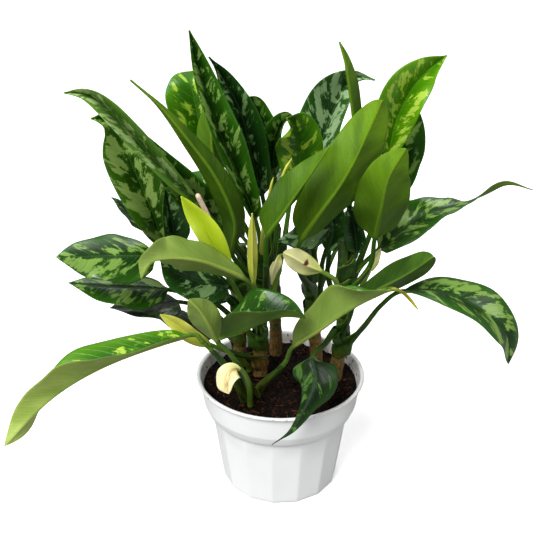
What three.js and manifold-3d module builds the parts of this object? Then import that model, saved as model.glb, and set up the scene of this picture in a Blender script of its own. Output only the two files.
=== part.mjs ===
// A potted chinese evergreen: one moulded pot, its soil, five canes, their long pointed leaves and a few pale spathes.
// Millimetres, +Z up. The pot rests on z = 0 with its axis on the Z axis, and the plant's front looks along -Y.
import * as THREE from "three";
import Module from "manifold-3d";

// Pot, from the floor up.
const POT_HEIGHT = 118;
const RIM_RADIUS = 82.5; // outer edge of the lip
const LIP_HEIGHT = 3;
const COLLAR_TOP_RADIUS = 79.5;
const COLLAR_FOOT_RADIUS = 72.5;
const COLLAR_FOOT_Z = 80;
const BODY_TOP_RADIUS = 68;
const BASE_CORNER_RADIUS = 57.6; // to the corners of the flats
const FLATS = 15;
const FLAT_POINTS = 4; // points round each flat
const FIRST_CORNER = -79.3; // degrees from the front
const WALL = 1.6;
const FLOOR = 2.6;
const DRAIN_HOLES = 5;
const DRAIN_RADIUS = 4;
const DRAIN_RING_RADIUS = 38;

// Soil.
const SOIL_TOP_Z = 106;
const SOIL_GAP = 0.4; // between the soil and what stands in it or round it
const SOIL_HUMP = 2.2;
const HOLE_DEPTH = 1; // how far a hole goes below the foot that stands in it

// Canes and leaves.
const CANE_SIDES = 10;
const PETIOLE_FOOT = 3; // radius where it leaves the cane
const PETIOLE_TOP = 2; // radius where the blade begins
const CLASP_RISE = 9; // height over which a petiole runs along its cane
const CLASP_GAP = 0.5;
const CLASP_LEAN = 0.15; // share of the way to its next point that it leans out by then
const BLADE_THICKNESS = 0.8;
const BLADE_STATIONS = 9;
const TIP_HALF_WIDTH = 0.5;
const TYPICAL_WIDTH = 44; // of a blade with the full midrib and wave
const RIB_DEPTH = 1.4; // midrib below the blade at its base
const MITRE_LIMIT = 2.4;
const RISE = 0.78; // how fast a blade widens from its base
const FALL = 1.05; // how fast it narrows to its tip
const WAVE_HEIGHT = 1.6;
const WAVES = 2.5; // waves along each edge
const WAVE_SHIFT = 0.9; // radians, by which one edge is ahead of the other

const wasm = await Module();
wasm.setup();

const radians = (degrees) => (degrees * Math.PI) / 180;
const vector = (point) => new THREE.Vector3(...point);
const along = (origin, ...moves) =>
  moves.reduce((sum, [direction, distance]) => sum.addScaledVector(direction, distance), origin.clone());

// A smooth curve through points: uniform Catmull-Rom.
function curveThrough(points) {
  return new THREE.CatmullRomCurve3(points.map(vector), false, "catmullrom", 0.5);
}

// A value, or a direction, eased between the evenly spaced entries of a list.
function eased(list, share) {
  const place = Math.min(Math.max(share, 0), 1) * (list.length - 1);
  const before = Math.min(Math.floor(place), list.length - 2);
  if (list.length === 1) return list[0];
  const f = place - before;
  const blend = f * f * (3 - 2 * f);
  const mixed = (a, b) => a * (1 - blend) + b * blend;
  const [a, b] = [list[before], list[before + 1]];
  return Array.isArray(a) ? a.map((value, i) => mixed(value, b[i])) : mixed(a, b);
}

// The part of a direction that is square to another, at unit length.
function squareTo(direction, tangent) {
  return direction.clone().addScaledVector(tangent, -direction.dot(tangent)).normalize();
}

// Closed surface through rings of equal count, with a cap on each end that fans from point 1.
// leans[k] says which way the quads between points k and k + 1 are split.
function loft(rings, leans = []) {
  const count = rings[0].length;
  const positions = rings.flat().flatMap((point) => [point.x, point.y, point.z]);
  const faces = [];
  for (let ring = 0; ring + 1 < rings.length; ring++) {
    for (let k = 0; k < count; k++) {
      const [a, b] = [ring * count + k, ring * count + ((k + 1) % count)];
      const [c, d] = [b + count, a + count];
      if (leans[k] === "back") faces.push(a, b, d, b, c, d);
      else faces.push(a, b, c, a, c, d);
    }
  }
  const last = (rings.length - 1) * count;
  for (let k = 2; k < count; k++) {
    const next = (k + 1) % count;
    faces.push(1, next, k);
    faces.push(last + 1, last + k, last + next);
  }
  const geometry = new THREE.BufferGeometry();
  geometry.setAttribute("position", new THREE.Float32BufferAttribute(positions, 3));
  geometry.setIndex(faces);
  return geometry;
}

// Rings of a round stem along a curve, with a frame carried along it without twist.
function stemRings(curve, radiusAt, sides, stations, grow = 0) {
  const rings = [];
  let across = new THREE.Vector3(1, 0, 0);
  for (let i = 0; i <= stations; i++) {
    const share = i / stations;
    const tangent = curve.getTangent(share);
    across = squareTo(across, tangent);
    const up = tangent.clone().cross(across);
    const radius = radiusAt(share) + grow;
    const ring = [];
    for (let k = 0; k < sides; k++) {
      const turn = (2 * Math.PI * k) / sides;
      ring.push(along(curve.getPoint(share), [across, radius * Math.cos(turn)], [up, radius * Math.sin(turn)]));
    }
    rings.push(ring);
  }
  return rings;
}

function solidOf(geometry) {
  return new wasm.Manifold(
    new wasm.Mesh({
      numProp: 3,
      vertProperties: new Float32Array(geometry.attributes.position.array),
      triVerts: new Uint32Array(geometry.index.array),
    }),
  );
}

function geometryOf(solid) {
  const mesh = solid.getMesh();
  const geometry = new THREE.BufferGeometry();
  geometry.setAttribute("position", new THREE.Float32BufferAttribute(mesh.vertProperties, 3));
  geometry.setIndex([...mesh.triVerts]);
  return geometry;
}

// Canes: woody stems that stand in the soil. Each has its route, its radius at the foot and at the top.
const CANES = {
  cane_center: { route: [[-20, 12, 72], [-20, 12, 130], [-19, 8, 200], [-18, 6, 248]], foot: 8, top: 5.5 },
  cane_left: { route: [[-42, 30, 72], [-41, 28, 120], [-38, 24, 180], [-37, 22, 246]], foot: 7, top: 5 },
  cane_mid_right: { route: [[38, 41, 72], [37, 40, 120], [30, 36, 180], [23, 32, 246]], foot: 7, top: 5 },
  cane_right: { route: [[54, 8, 72], [55, 7, 110], [60, 4, 160], [59, 1, 215], [57, 0, 262]], foot: 7.5, top: 5 },
  cane_back: { route: [[-4, 52, 72], [-4, 53, 120], [-6, 56, 190], [-4, 60, 250]], foot: 7, top: 5 },
};

function caneRings(cane, grow = 0) {
  const radiusAt = (share) => cane.foot + (cane.top - cane.foot) * share;
  return stemRings(curveThrough(cane.route), radiusAt, CANE_SIDES, 8, grow);
}

// The centre of a petiole's foot that touches a cane at a height, turned by an angle from the front.
function beside(cane, height, side) {
  const curve = curveThrough(cane.route);
  let [low, high] = [0, 1];
  for (let i = 0; i < 30; i++) {
    const middle = (low + high) / 2;
    if (curve.getPoint(middle).z < height) low = middle;
    else high = middle;
  }
  const reach = cane.foot + (cane.top - cane.foot) * low + PETIOLE_FOOT + CLASP_GAP;
  const centre = curve.getPoint(low);
  return [
    centre.x + reach * Math.sin(radians(side)),
    centre.y - reach * Math.cos(radians(side)),
    height,
  ];
}

// Leaves. foot: the cane that bears it, the height and the angle from the front (a leaf without one has its foot
// in the soil, at the first point of its petiole). petiole: the points from there to the base of the blade.
// blade: the midrib's points after that base, to the tip. face: where the upper side looks, from base to tip.
// fold: degrees by which each half is raised from flat, from base to tip.
const LEAVES = {
  leaf_spear: {
    foot: ["cane_center", 230, 0], petiole: [[-19, -11, 255], [-23, -14, 285]],
    blade: [[-42, -22, 342], [-56, -30, 382], [-67, -36, 424], [-75, -44, 464]],
    width: 50, rise: 0.62, fall: 0.95, face: [[0.3, -0.9, 0], [0.4, -0.9, 0], [0.3, -0.9, -0.1]], fold: [64, 60, 52],
  },
  leaf_spear_back: {
    foot: ["cane_center", 224, 200], petiole: [[-32, 20, 262], [-52, 14, 301]],
    blade: [[-61, 10, 337], [-62, 8, 365], [-56, 12, 389], [-48, 18, 407]],
    width: 34, face: [[-0.2, 1, -0.1], [0, 1, -0.1]], fold: [43, 46],
  },
  leaf_blunt_top: {
    foot: ["cane_left", 222, 170], petiole: [[-51, 40, 261], [-66, 38, 315]],
    blade: [[-73, 34, 352], [-78, 30, 382], [-81, 31, 400], [-84, 42, 408]],
    width: 50, fall: 0.6, face: [[-0.1, -1, 0.3], [-0.1, -1, 0.3], [-0.1, -0.9, 0.6], [0, -0.4, 0.9]], fold: [22, 14, 8, 8],
  },
  leaf_s_curve: {
    foot: ["cane_center", 212, -20], petiole: [[-34, -26, 243], [-44, -42, 267]],
    blade: [[-41, -56, 303], [-55, -64, 345], [-77, -67, 380], [-99, -67, 409], [-121, -69, 431]],
    width: 36, rise: 0.5, fall: 1.7, face: [[-0.1, 1, 0.2], [-0.2, 1, 0], [-0.2, 1, -0.1]], fold: [56, 51, 55],
  },
  leaf_dark_wide: {
    foot: ["cane_center", 234, 105], petiole: [[-12, 8, 264], [-17, 4, 301]],
    blade: [[-27, 0, 344], [-36, -8, 386], [-51, -14, 419], [-61, -22, 437]],
    width: 44, fall: 1.35, face: [[0.2, -1, -0.1], [0.2, -1, -0.1], [0.5, -0.8, -0.1]], fold: [47, 49, 58],
  },
  leaf_small_hook: {
    foot: ["cane_back", 222, -20], petiole: [[-8, 34, 267], [-10, 34, 317]],
    blade: [[-12, 36, 350], [-19, 34, 368], [-26, 30, 383], [-36, 24, 388]],
    width: 28, face: [[0, -1, 0.1], [0.5, -0.8, 0.3]], fold: [50, 58],
  },
  leaf_dark_arch: {
    foot: ["cane_center", 206, 130], petiole: [[-4, 20, 262], [-6, 20, 314]],
    blade: [[-7, 14, 342], [-2, 5, 366], [6, -2, 378], [13, -8, 376]],
    width: 30, face: [[0, -1, -0.1], [-0.5, -0.8, 0.5]], fold: [50, 60],
  },
  leaf_blotched_bend: {
    foot: ["cane_mid_right", 220, -30], petiole: [[18, 13, 260], [20, 8, 291]],
    blade: [[17, 4, 328], [14, -4, 358], [10, -12, 376], [4, -20, 384]],
    width: 44, fall: 0.75, face: [[0, -1, -0.1], [0.1, -0.9, -0.2], [0.4, -0.8, 0.2]], fold: [26, 18, 35],
  },
  leaf_glossy_back: {
    foot: ["cane_mid_right", 208, 100], petiole: [[28, 50, 260], [30, 50, 304]],
    blade: [[36, 50, 332], [46, 47, 365], [57, 41, 394], [68, 36, 404], [83, 31, 403]],
    width: 62, fall: 1.55, face: [[-0.4, -0.9, 0.1], [-0.6, -0.8, -0.1], [-0.3, -0.8, 0.4]], fold: [43, 43, 58],
  },
  leaf_thin_tall: {
    foot: ["cane_right", 220, -170], petiole: [[62, 26, 264], [67, 16, 322]],
    blade: [[64, 4, 365], [59, -4, 397], [54, -10, 425], [47, -14, 448]],
    width: 30, face: [[0.3, 0.9, 0.1], [0.2, 1, 0.2]], fold: [70, 72],
  },
  leaf_big_underside: {
    foot: ["cane_mid_right", 195, -5], petiole: [[14, -28, 250], [16, -44, 279]],
    blade: [[30, -56, 309], [46, -61, 336], [59, -61, 361], [69, -58, 384], [80, -54, 410]],
    width: 58, rise: 0.38, fall: 0.5, face: [[0.2, 0.9, 0.4], [0.1, 1, 0.1], [0.1, 1, -0.2]], fold: [41, 38, 39],
  },
  leaf_folded_underside: {
    foot: ["cane_center", 200, 40], petiole: [[-14, -50, 262], [-13, -67, 294]],
    blade: [[-1, -76, 318], [12, -78, 340], [25, -74, 358], [37, -66, 374]],
    width: 46, rise: 0.45, fall: 0.8, face: [[-0.1, 0.9, 0.5], [0, 1, 0.3], [-0.1, 1, 0]], fold: [55, 61, 69],
  },
  leaf_right_underside: {
    foot: ["cane_right", 204, 20], petiole: [[81, -20, 244], [82, -36, 278]],
    blade: [[83, -63, 318], [86, -77, 352], [98, -80, 378]],
    width: 51, rise: 0.34, fall: 0.72, face: [[0.1, 0.9, 0.4], [0.2, 1, 0]], fold: [25, 31],
  },
  leaf_right_top: {
    foot: ["cane_right", 236, 115], petiole: [[79, 16, 284], [95, 15, 333]],
    blade: [[101, 10, 371], [111, 2, 401], [125, -4, 422], [137, -13, 436]],
    width: 50, face: [[-0.3, -1, 0], [-0.6, -0.8, 0]], fold: [41, 38],
  },
  leaf_round_behind: {
    foot: ["cane_right", 208, 130], petiole: [[91, 42, 258], [114, 45, 288]],
    blade: [[114, 47, 326], [113, 42, 360], [109, 34, 396]],
    width: 50, fall: 0.75, face: [[-0.2, -1, 0.1], [-0.1, -1, -0.2]], fold: [37, 37],
  },
  leaf_far_right: {
    foot: ["cane_right", 214, 75], petiole: [[76, 5, 232], [90, 4, 248]],
    blade: [[110, 2, 270], [131, 2, 285], [153, 1, 293], [173, 0, 301], [200, -1, 317], [228, -5, 312]],
    width: 48, rise: 0.52, fall: 1.6,
    face: [[-0.7, -0.5, 0.6], [-0.7, -0.5, 0.6], [-0.6, -0.3, 0.7], [-0.5, 0, 0.8], [-0.5, 0.4, 0.8], [-0.3, 0.9, 0.6], [0.2, 0.6, 0.8]],
    fold: [21, 8, -4, 0],
  },
  leaf_bent_end: {
    foot: ["cane_right", 165, 5], petiole: [[64, -26, 195], [69, -40, 219]],
    blade: [[90, -56, 241], [110, -70, 262], [127, -82, 283]],
    width: 36, rise: 0.6, fall: 0.6, face: [[0.5, 0.8, 0.2], [0.5, 0.8, 0.1]], fold: [49, 49],
  },
  leaf_front_olive: {
    petiole: [[-22, -20, 88], [-20, -22, 112], [3, -44, 154], [10, -58, 180]],
    blade: [[32, -76, 208], [54, -86, 232], [76, -90, 248], [97, -90, 255], [116, -92, 238]],
    width: 50, rise: 0.7,
    face: [[0, 0.5, 0.9], [0, 0.5, 0.9], [0, 0.4, 0.9], [0, 0.5, 0.9], [0, 0.3, 0.9], [0, 0, 1]],
    fold: [74, 72, 64, 20, 5, 10],
  },
  leaf_right_drooping: {
    foot: ["cane_right", 146, 45], petiole: [[79, -20, 182], [91, -34, 210], [108, -42, 229]],
    blade: [[140, -56, 236], [173, -62, 223], [201, -64, 199], [206, -66, 167]],
    width: 49, rise: 1, fall: 0.95, face: [[-0.4, 0, 0.9], [0.5, -0.4, 0.8], [0.7, -0.7, 0.2]], fold: [10, 12, 7],
  },
  leaf_hanging_front: {
    foot: ["cane_right", 160, -40], petiole: [[40, -44, 175], [28, -66, 175]],
    blade: [[30, -82, 160], [23, -94, 145], [9, -105, 123], [-9, -110, 110]],
    width: 50, rise: 0.42, fall: 2.3, face: [[-0.1, -0.6, 0.8], [-0.3, -0.7, 0.6], [-0.3, -0.6, 0.8]],
    fold: [-34, -42, -22],
  },
  leaf_front_center: {
    foot: ["cane_center", 128, -30], petiole: [[-50, -44, 168], [-57, -58, 189]],
    blade: [[-39, -76, 206], [-19, -87, 222], [1, -90, 230], [20, -89, 228]],
    width: 58, rise: 0.95, face: [[0, -0.1, 1], [0, -0.1, 1]], fold: [56, 50],
  },
  leaf_front_left_underside: {
    petiole: [[-23, -27, 88], [-24, -30, 108], [-29, -45, 128], [-39, -64, 164], [-49, -78, 189], [-57, -88, 204]],
    blade: [[-62, -103, 227], [-69, -109, 245], [-78, -112, 258]],
    width: 32, rise: 0.7, fall: 0.95, face: [[-0.2, 0.9, 0.3], [-0.4, 0.9, 0]], fold: [36, 41],
  },
  leaf_long_left: {
    petiole: [[-34, -33, 88], [-35, -36, 110], [-52, -56, 160], [-70, -68, 191], [-81, -72, 201]],
    blade: [[-123, -94, 198], [-156, -112, 192], [-185, -128, 181], [-208, -140, 165], [-235, -150, 138]],
    width: 56, rise: 0.9, fall: 0.95,
    face: [[0, 0, 1], [0, 0.1, 1], [0, 0.3, 0.9], [0, 0.5, 0.9], [0, 0.8, 0.6], [0, 1, -0.1]],
    fold: [35, 30, 35, 44, 34, 12],
  },
  leaf_left_wide: {
    foot: ["cane_left", 182, -60], petiole: [[-74, -22, 238], [-110, -45, 264]],
    blade: [[-136, -59, 273], [-165, -69, 277], [-191, -81, 282]],
    width: 53, rise: 0.58, fall: 0.9, face: [[0.6, -0.3, 0.8], [0.4, -0.4, 0.8]], fold: [-10, -10],
  },
  leaf_left_low: {
    foot: ["cane_left", 162, -25], petiole: [[-68, -2, 199], [-104, -16, 217]],
    blade: [[-134, -34, 229], [-163, -48, 238], [-188, -58, 246]],
    width: 46, rise: 0.6, face: [[0.5, -0.2, 0.9], [0.3, -0.2, 0.9]], fold: [-12, -12],
  },
  leaf_left_dark: {
    foot: ["cane_left", 146, -95], petiole: [[-66, 6, 182], [-96, -6, 199]],
    blade: [[-125, -22, 204], [-157, -36, 209]],
    width: 58, rise: 0.6, face: [[0.2, 0.1, 1]], fold: [-3],
  },
  leaf_left_shadow: {
    foot: ["cane_left", 122, -150], petiole: [[-54, 34, 150], [-66, 20, 159]],
    blade: [[-92, 4, 170], [-121, -4, 183]],
    width: 46, rise: 0.6, face: [[0.6, 0.1, 0.8]], fold: [-3],
  },
  leaf_left_large: {
    foot: ["cane_left", 204, -85], petiole: [[-71, 5, 234], [-104, -8, 259]],
    blade: [[-116, -26, 304], [-128, -36, 346], [-138, -40, 376], [-146, -45, 390], [-158, -49, 393]],
    width: 55, fall: 1.15, face: [[0.5, -0.9, -0.2], [0.3, -0.9, 0], [0.3, -0.9, 0.3]], fold: [35, 36, 55],
  },
  leaf_left_curled: {
    foot: ["cane_left", 188, -130], petiole: [[-77, 24, 227], [-122, 10, 264]],
    blade: [[-139, 6, 284], [-154, 1, 303]],
    width: 24, face: [[0.7, -0.1, 0.7]], fold: [0],
  },
  leaf_arch_left: {
    foot: ["cane_center", 226, -60], petiole: [[-46, -30, 276], [-70, -48, 314]],
    blade: [[-96, -66, 352], [-122, -78, 390], [-141, -83, 414], [-155, -85, 424], [-170, -88, 426]],
    width: 38, face: [[0.5, -0.9, -0.1], [0.3, -0.9, 0.1], [0.2, -0.9, 0.3]], fold: [65, 65, 65],
  },
  leaf_arch_behind: {
    foot: ["cane_center", 206, -105], petiole: [[-38, 4, 240], [-50, -6, 264]],
    blade: [[-67, -26, 304], [-86, -41, 332], [-104, -52, 360], [-122, -58, 390]],
    width: 42, face: [[0.5, -0.9, -0.2], [0.3, -0.9, 0.1]], fold: [43, 49],
  },
  leaf_front_flat: {
    foot: ["cane_center", 160, -5], petiole: [[-22, -48, 221], [-31, -72, 255]],
    blade: [[-56, -90, 278], [-73, -101, 289], [-92, -108, 294], [-107, -112, 292], [-116, -115, 279]],
    width: 42, face: [[0, 0.9, -0.3], [0, 0.9, -0.3], [0, 0.9, -0.3], [0, 1, 0], [0, 0.7, 0.7], [0.3, 0.4, 0.9]],
    fold: [45, 48, 50, 50, 36, 25],
  },
  leaf_small_upright: {
    foot: ["cane_left", 216, -40], petiole: [[-62, -4, 240], [-92, -22, 261]],
    blade: [[-97, -31, 292], [-101, -38, 327]],
    width: 30, face: [[0.5, -0.9, -0.2]], fold: [37],
  },
  leaf_glossy_arch: {
    foot: ["cane_center", 182, -25], petiole: [[-36, -10, 212], [-49, -30, 228]],
    blade: [[-70, -46, 240], [-92, -55, 254], [-107, -60, 277]],
    width: 46, face: [[0.7, -0.2, 0.7], [0.8, -0.5, 0.4]], fold: [0, 0],
  },
  leaf_inner_variegated: {
    foot: ["cane_center", 150, -60], petiole: [[-39, -4, 191], [-48, -14, 209]],
    blade: [[-62, -24, 224], [-75, -30, 243]],
    width: 28, face: [[0.8, -0.3, 0.5]], fold: [0],
  },
  leaf_inner_glossy: {
    foot: ["cane_mid_right", 170, 55], petiole: [[38, -4, 236], [45, -20, 279]],
    blade: [[32, -24, 282], [14, -28, 275], [-5, -33, 275]],
    width: 30, face: [[0.8, -0.5, 0], [0.2, -0.2, 0.9]], fold: [0, -4],
  },
  leaf_inner_dark: {
    foot: ["cane_right", 232, 60], petiole: [[70, -2, 248]],
    blade: [[69, -3, 262], [65, -6, 282], [60, -10, 304]],
    width: 24, face: [[-0.1, -1, -0.1]], fold: [37],
  },
  leaf_right_inner: {
    foot: ["cane_right", 192, -110], petiole: [[45, 14, 218], [46, 18, 240]],
    blade: [[50, 18, 266], [55, 12, 300]],
    width: 26, face: [[-0.1, -1, 0.1]], fold: [37],
  },
  leaf_back_center: {
    foot: ["cane_back", 226, 170], petiole: [[-6, 86, 272]],
    blade: [[-12, 116, 296], [-20, 148, 292], [-26, 174, 264]],
    width: 46, face: [[0, -0.3, 0.9], [0, 0.6, 0.8]], fold: [25, 20],
  },
  leaf_back_left: {
    foot: ["cane_back", 206, -120], petiole: [[-46, 74, 256]],
    blade: [[-78, 96, 270], [-110, 114, 272], [-140, 126, 250]],
    width: 48, face: [[0.2, -0.1, 1], [-0.5, 0.4, 0.8]], fold: [25, 20],
  },
  leaf_back_right: {
    foot: ["cane_mid_right", 196, 180], petiole: [[44, 72, 258]],
    blade: [[66, 98, 288], [90, 122, 290], [112, 142, 264]],
    width: 46, face: [[0, -0.1, 1], [0.5, 0.5, 0.7]], fold: [25, 20],
  },
  leaf_back_low_left: {
    foot: ["cane_back", 182, -150], petiole: [[-36, 86, 222]],
    blade: [[-66, 110, 238], [-96, 130, 230], [-122, 144, 204]],
    width: 42, face: [[0, 0, 1], [-0.5, 0.5, 0.7]], fold: [25, 20],
  },
  leaf_back_low_right: {
    foot: ["cane_mid_right", 176, 140], petiole: [[60, 76, 222]],
    blade: [[86, 98, 240], [114, 116, 232], [138, 128, 208]],
    width: 42, face: [[0, 0, 1], [0.5, 0.5, 0.7]], fold: [25, 20],
  },
  leaf_back_upright: {
    foot: ["cane_back", 230, 70], petiole: [[12, 78, 280]],
    blade: [[20, 86, 304], [26, 96, 322], [32, 112, 330]],
    width: 34, face: [[0, -0.9, 0.4], [0, -0.6, 0.8]], fold: [25, 20],
  },
};

// Spathes: the pale hooded bracts of the flowers, on short stalks. They are written as leaves are.
const SPATHES = {
  spathe_lime: {
    foot: ["cane_center", 172, -90], petiole: [[-42, -30, 226], [-48, -60, 254]],
    blade: [[-55, -66, 277], [-64, -69, 301], [-75, -71, 318], [-84, -74, 334]],
    width: 26, rise: 0.6, fall: 0.8, face: [[0.4, -0.9, -0.3], [0.2, -0.9, 0.2]], fold: [37, 37],
  },
  spathe_closed: {
    foot: ["cane_center", 184, 10], petiole: [[-25, -44, 238]],
    blade: [[-26, -48, 264], [-26, -50, 288], [-26, -50, 309]],
    width: 12, rise: 0.5, fall: 0.9, face: [[0, 0.9, 0.4], [0, 1, 0]], fold: [45, 40],
  },
  spathe_pointing_down: {
    foot: ["cane_center", 190, 95], petiole: [[0, -6, 243], [-2, -14, 250]],
    blade: [[-5, -20, 248], [-8, -22, 238], [-9, -20, 225]],
    width: 13, rise: 0.5, fall: 0.7, face: [[0.3, 0.2, -0.9], [0.1, 1, 0.1]], fold: [46, 46],
  },
  spathe_spotted: {
    foot: ["cane_right", 194, -25], petiole: [[49, -34, 235], [35, -46, 251]],
    blade: [[23, -53, 260], [10, -57, 270], [1, -57, 275]],
    width: 24, rise: 0.5, fall: 0.7, face: [[-0.6, 0.8, -0.1], [0, 0.9, -0.4]], fold: [37, 37],
  },
  spathe_open_low: {
    petiole: [[-29, -42, 88], [-29, -45, 110], [-30, -60, 140], [-33, -68, 157], [-38, -74, 167]],
    blade: [[-44, -78, 166], [-48, -82, 158], [-48, -84, 147]],
    width: 24, rise: 0.8, fall: 0.7, face: [[-0.6, -0.8, -0.1], [-0.6, -0.8, 0]], fold: [15, 30, 40],
  },
  spathe_behind_long_left: {
    foot: ["cane_center", 113, -75], petiole: [[-46, -20, 150], [-66, -46, 176]],
    blade: [[-84, -56, 193], [-96, -60, 206], [-108, -62, 216]],
    width: 18, rise: 0.6, fall: 0.8, face: [[0.6, -0.8, -0.1], [0.4, -0.9, 0.3]], fold: [37, 37],
  },
  spathe_small_right: {
    foot: ["cane_right", 190, 80], petiole: [[82, -6, 231]],
    blade: [[86, -9, 243], [88, -10, 250], [91, -12, 257]],
    width: 10, rise: 0.5, fall: 0.7, face: [[-0.3, -0.9, -0.2], [-0.2, -0.9, -0.2]], fold: [37, 37],
  },
};

// The cream club that stands inside the lime spathe.
const SPADIX = { route: [[-55, -60, 286], [-63, -61, 310], [-71.5, -68, 334]], foot: 2.2, top: 2.2 };

// Half of a blade's width as a share of the widest, at a share of its length.
function profile(u, rise, fall) {
  const widest = rise / (rise + fall);
  return (u / widest) ** rise * ((1 - u) / (1 - widest)) ** fall;
}

// Every point of a leaf's spine, from the foot of its petiole to its tip.
function spineOf(leaf) {
  const clasp = [];
  if (leaf.foot) {
    const [cane, height, side] = leaf.foot;
    const [x, y, z] = beside(CANES[cane], height, side);
    const [nextX, nextY] = leaf.petiole[0];
    const lean = [x + CLASP_LEAN * (nextX - x), y + CLASP_LEAN * (nextY - y), z + CLASP_RISE];
    clasp.push([x, y, z], lean);
  }
  return { points: [...clasp, ...leaf.petiole, ...leaf.blade], base: clasp.length + leaf.petiole.length - 1 };
}

// Six points round the midrib: left edge, middle and right edge of the upper side, then of the lower side.
function bladeRing(leaf, u, centre, across, up) {
  const full = (leaf.width / 2) * profile(u, leaf.rise ?? RISE, leaf.fall ?? FALL);
  const half = Math.hypot(full, PETIOLE_TOP * Math.sqrt(1 - u), TIP_HALF_WIDTH);
  const fold = radians(eased(leaf.fold, u));
  const size = leaf.width / TYPICAL_WIDTH;
  const rib = RIB_DEPTH * size * (1 - u) ** 2 + Math.min(BLADE_THICKNESS / Math.cos(fold), MITRE_LIMIT);
  const edge = (side, depth) => {
    const swing = Math.sin(2 * Math.PI * WAVES * u + WAVE_SHIFT * side);
    const wave = (WAVE_HEIGHT * size * swing * full) / (leaf.width / 2);
    const reach = side * (half * Math.cos(fold) + depth * Math.sin(fold));
    return along(centre, [across, reach], [up, half * Math.sin(fold) + wave - depth * Math.cos(fold)]);
  };
  return [
    edge(-1, 0),
    centre.clone(),
    edge(1, 0),
    edge(1, BLADE_THICKNESS),
    along(centre, [up, -rib]),
    edge(-1, BLADE_THICKNESS),
  ];
}

// A leaf as one closed surface: a six-sided petiole that widens into a folded blade.
function leafGeometry(leaf) {
  const { points, base } = spineOf(leaf);
  const curve = curveThrough(points);
  const bladeStart = base / (points.length - 1);
  const rings = [];
  let baseUp;
  for (let i = 0; i <= BLADE_STATIONS; i++) {
    const u = 0.5 - 0.5 * Math.cos((Math.PI * i) / BLADE_STATIONS);
    const t = bladeStart + u * (1 - bladeStart);
    const tangent = curve.getTangent(t);
    const up = squareTo(vector(eased(leaf.face, u)), tangent);
    baseUp ??= up;
    rings.push(bladeRing(leaf, u, curve.getPoint(t), tangent.clone().cross(up), up));
  }
  let up = baseUp;
  const petioleStations = 2 * base;
  for (let i = petioleStations - 1; i >= 0; i--) {
    const t = (bladeStart * i) / petioleStations;
    const tangent = curve.getTangent(t);
    up = squareTo(up, tangent);
    const across = tangent.clone().cross(up);
    const radius = PETIOLE_FOOT + ((PETIOLE_TOP - PETIOLE_FOOT) * i) / petioleStations;
    const angles = [150, 90, 30, -30, -90, -150].map(radians);
    const centre = curve.getPoint(t);
    rings.unshift(
      angles.map((angle) => along(centre, [across, radius * Math.cos(angle)], [up, radius * Math.sin(angle)])),
    );
  }
  return loft(rings, ["", "back", "", "", "back", ""]);
}

// Radius of the pot's flat-sided body in a direction: the flats fade into a circle towards the top.
function bodyRadius(corner, roundness, k) {
  const turn = (((k % FLAT_POINTS) / FLAT_POINTS) * 2 * Math.PI) / FLATS;
  const flat = (corner * Math.cos(Math.PI / FLATS)) / Math.cos(turn - Math.PI / FLATS);
  return flat + (corner - flat) * roundness;
}

function potRing(z, radiusAt) {
  const ring = [];
  for (let k = 0; k < FLATS * FLAT_POINTS; k++) {
    const turn = radians(FIRST_CORNER) + (2 * Math.PI * k) / (FLATS * FLAT_POINTS);
    const radius = radiusAt(k);
    ring.push(new THREE.Vector3(radius * Math.sin(turn), -radius * Math.cos(turn), z));
  }
  return ring;
}

// The pot's inside, from the floor up: [z, radius]. The soil follows it.
const INSIDE = [
  [FLOOR, 53.4],
  [FLOOR + 2, 54.8],
  [COLLAR_FOOT_Z - 1, BODY_TOP_RADIUS - WALL - 0.6],
  [COLLAR_FOOT_Z + 3, COLLAR_FOOT_RADIUS - WALL - 0.4],
  [POT_HEIGHT - LIP_HEIGHT, COLLAR_TOP_RADIUS - WALL],
  [POT_HEIGHT - 0.6, COLLAR_TOP_RADIUS - 0.6],
];

function insideRadius(z) {
  const above = INSIDE.findIndex(([height]) => height >= z);
  const [[z0, r0], [z1, r1]] = [INSIDE[above - 1], INSIDE[above]];
  return r0 + ((r1 - r0) * (z - z0)) / (z1 - z0);
}

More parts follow.
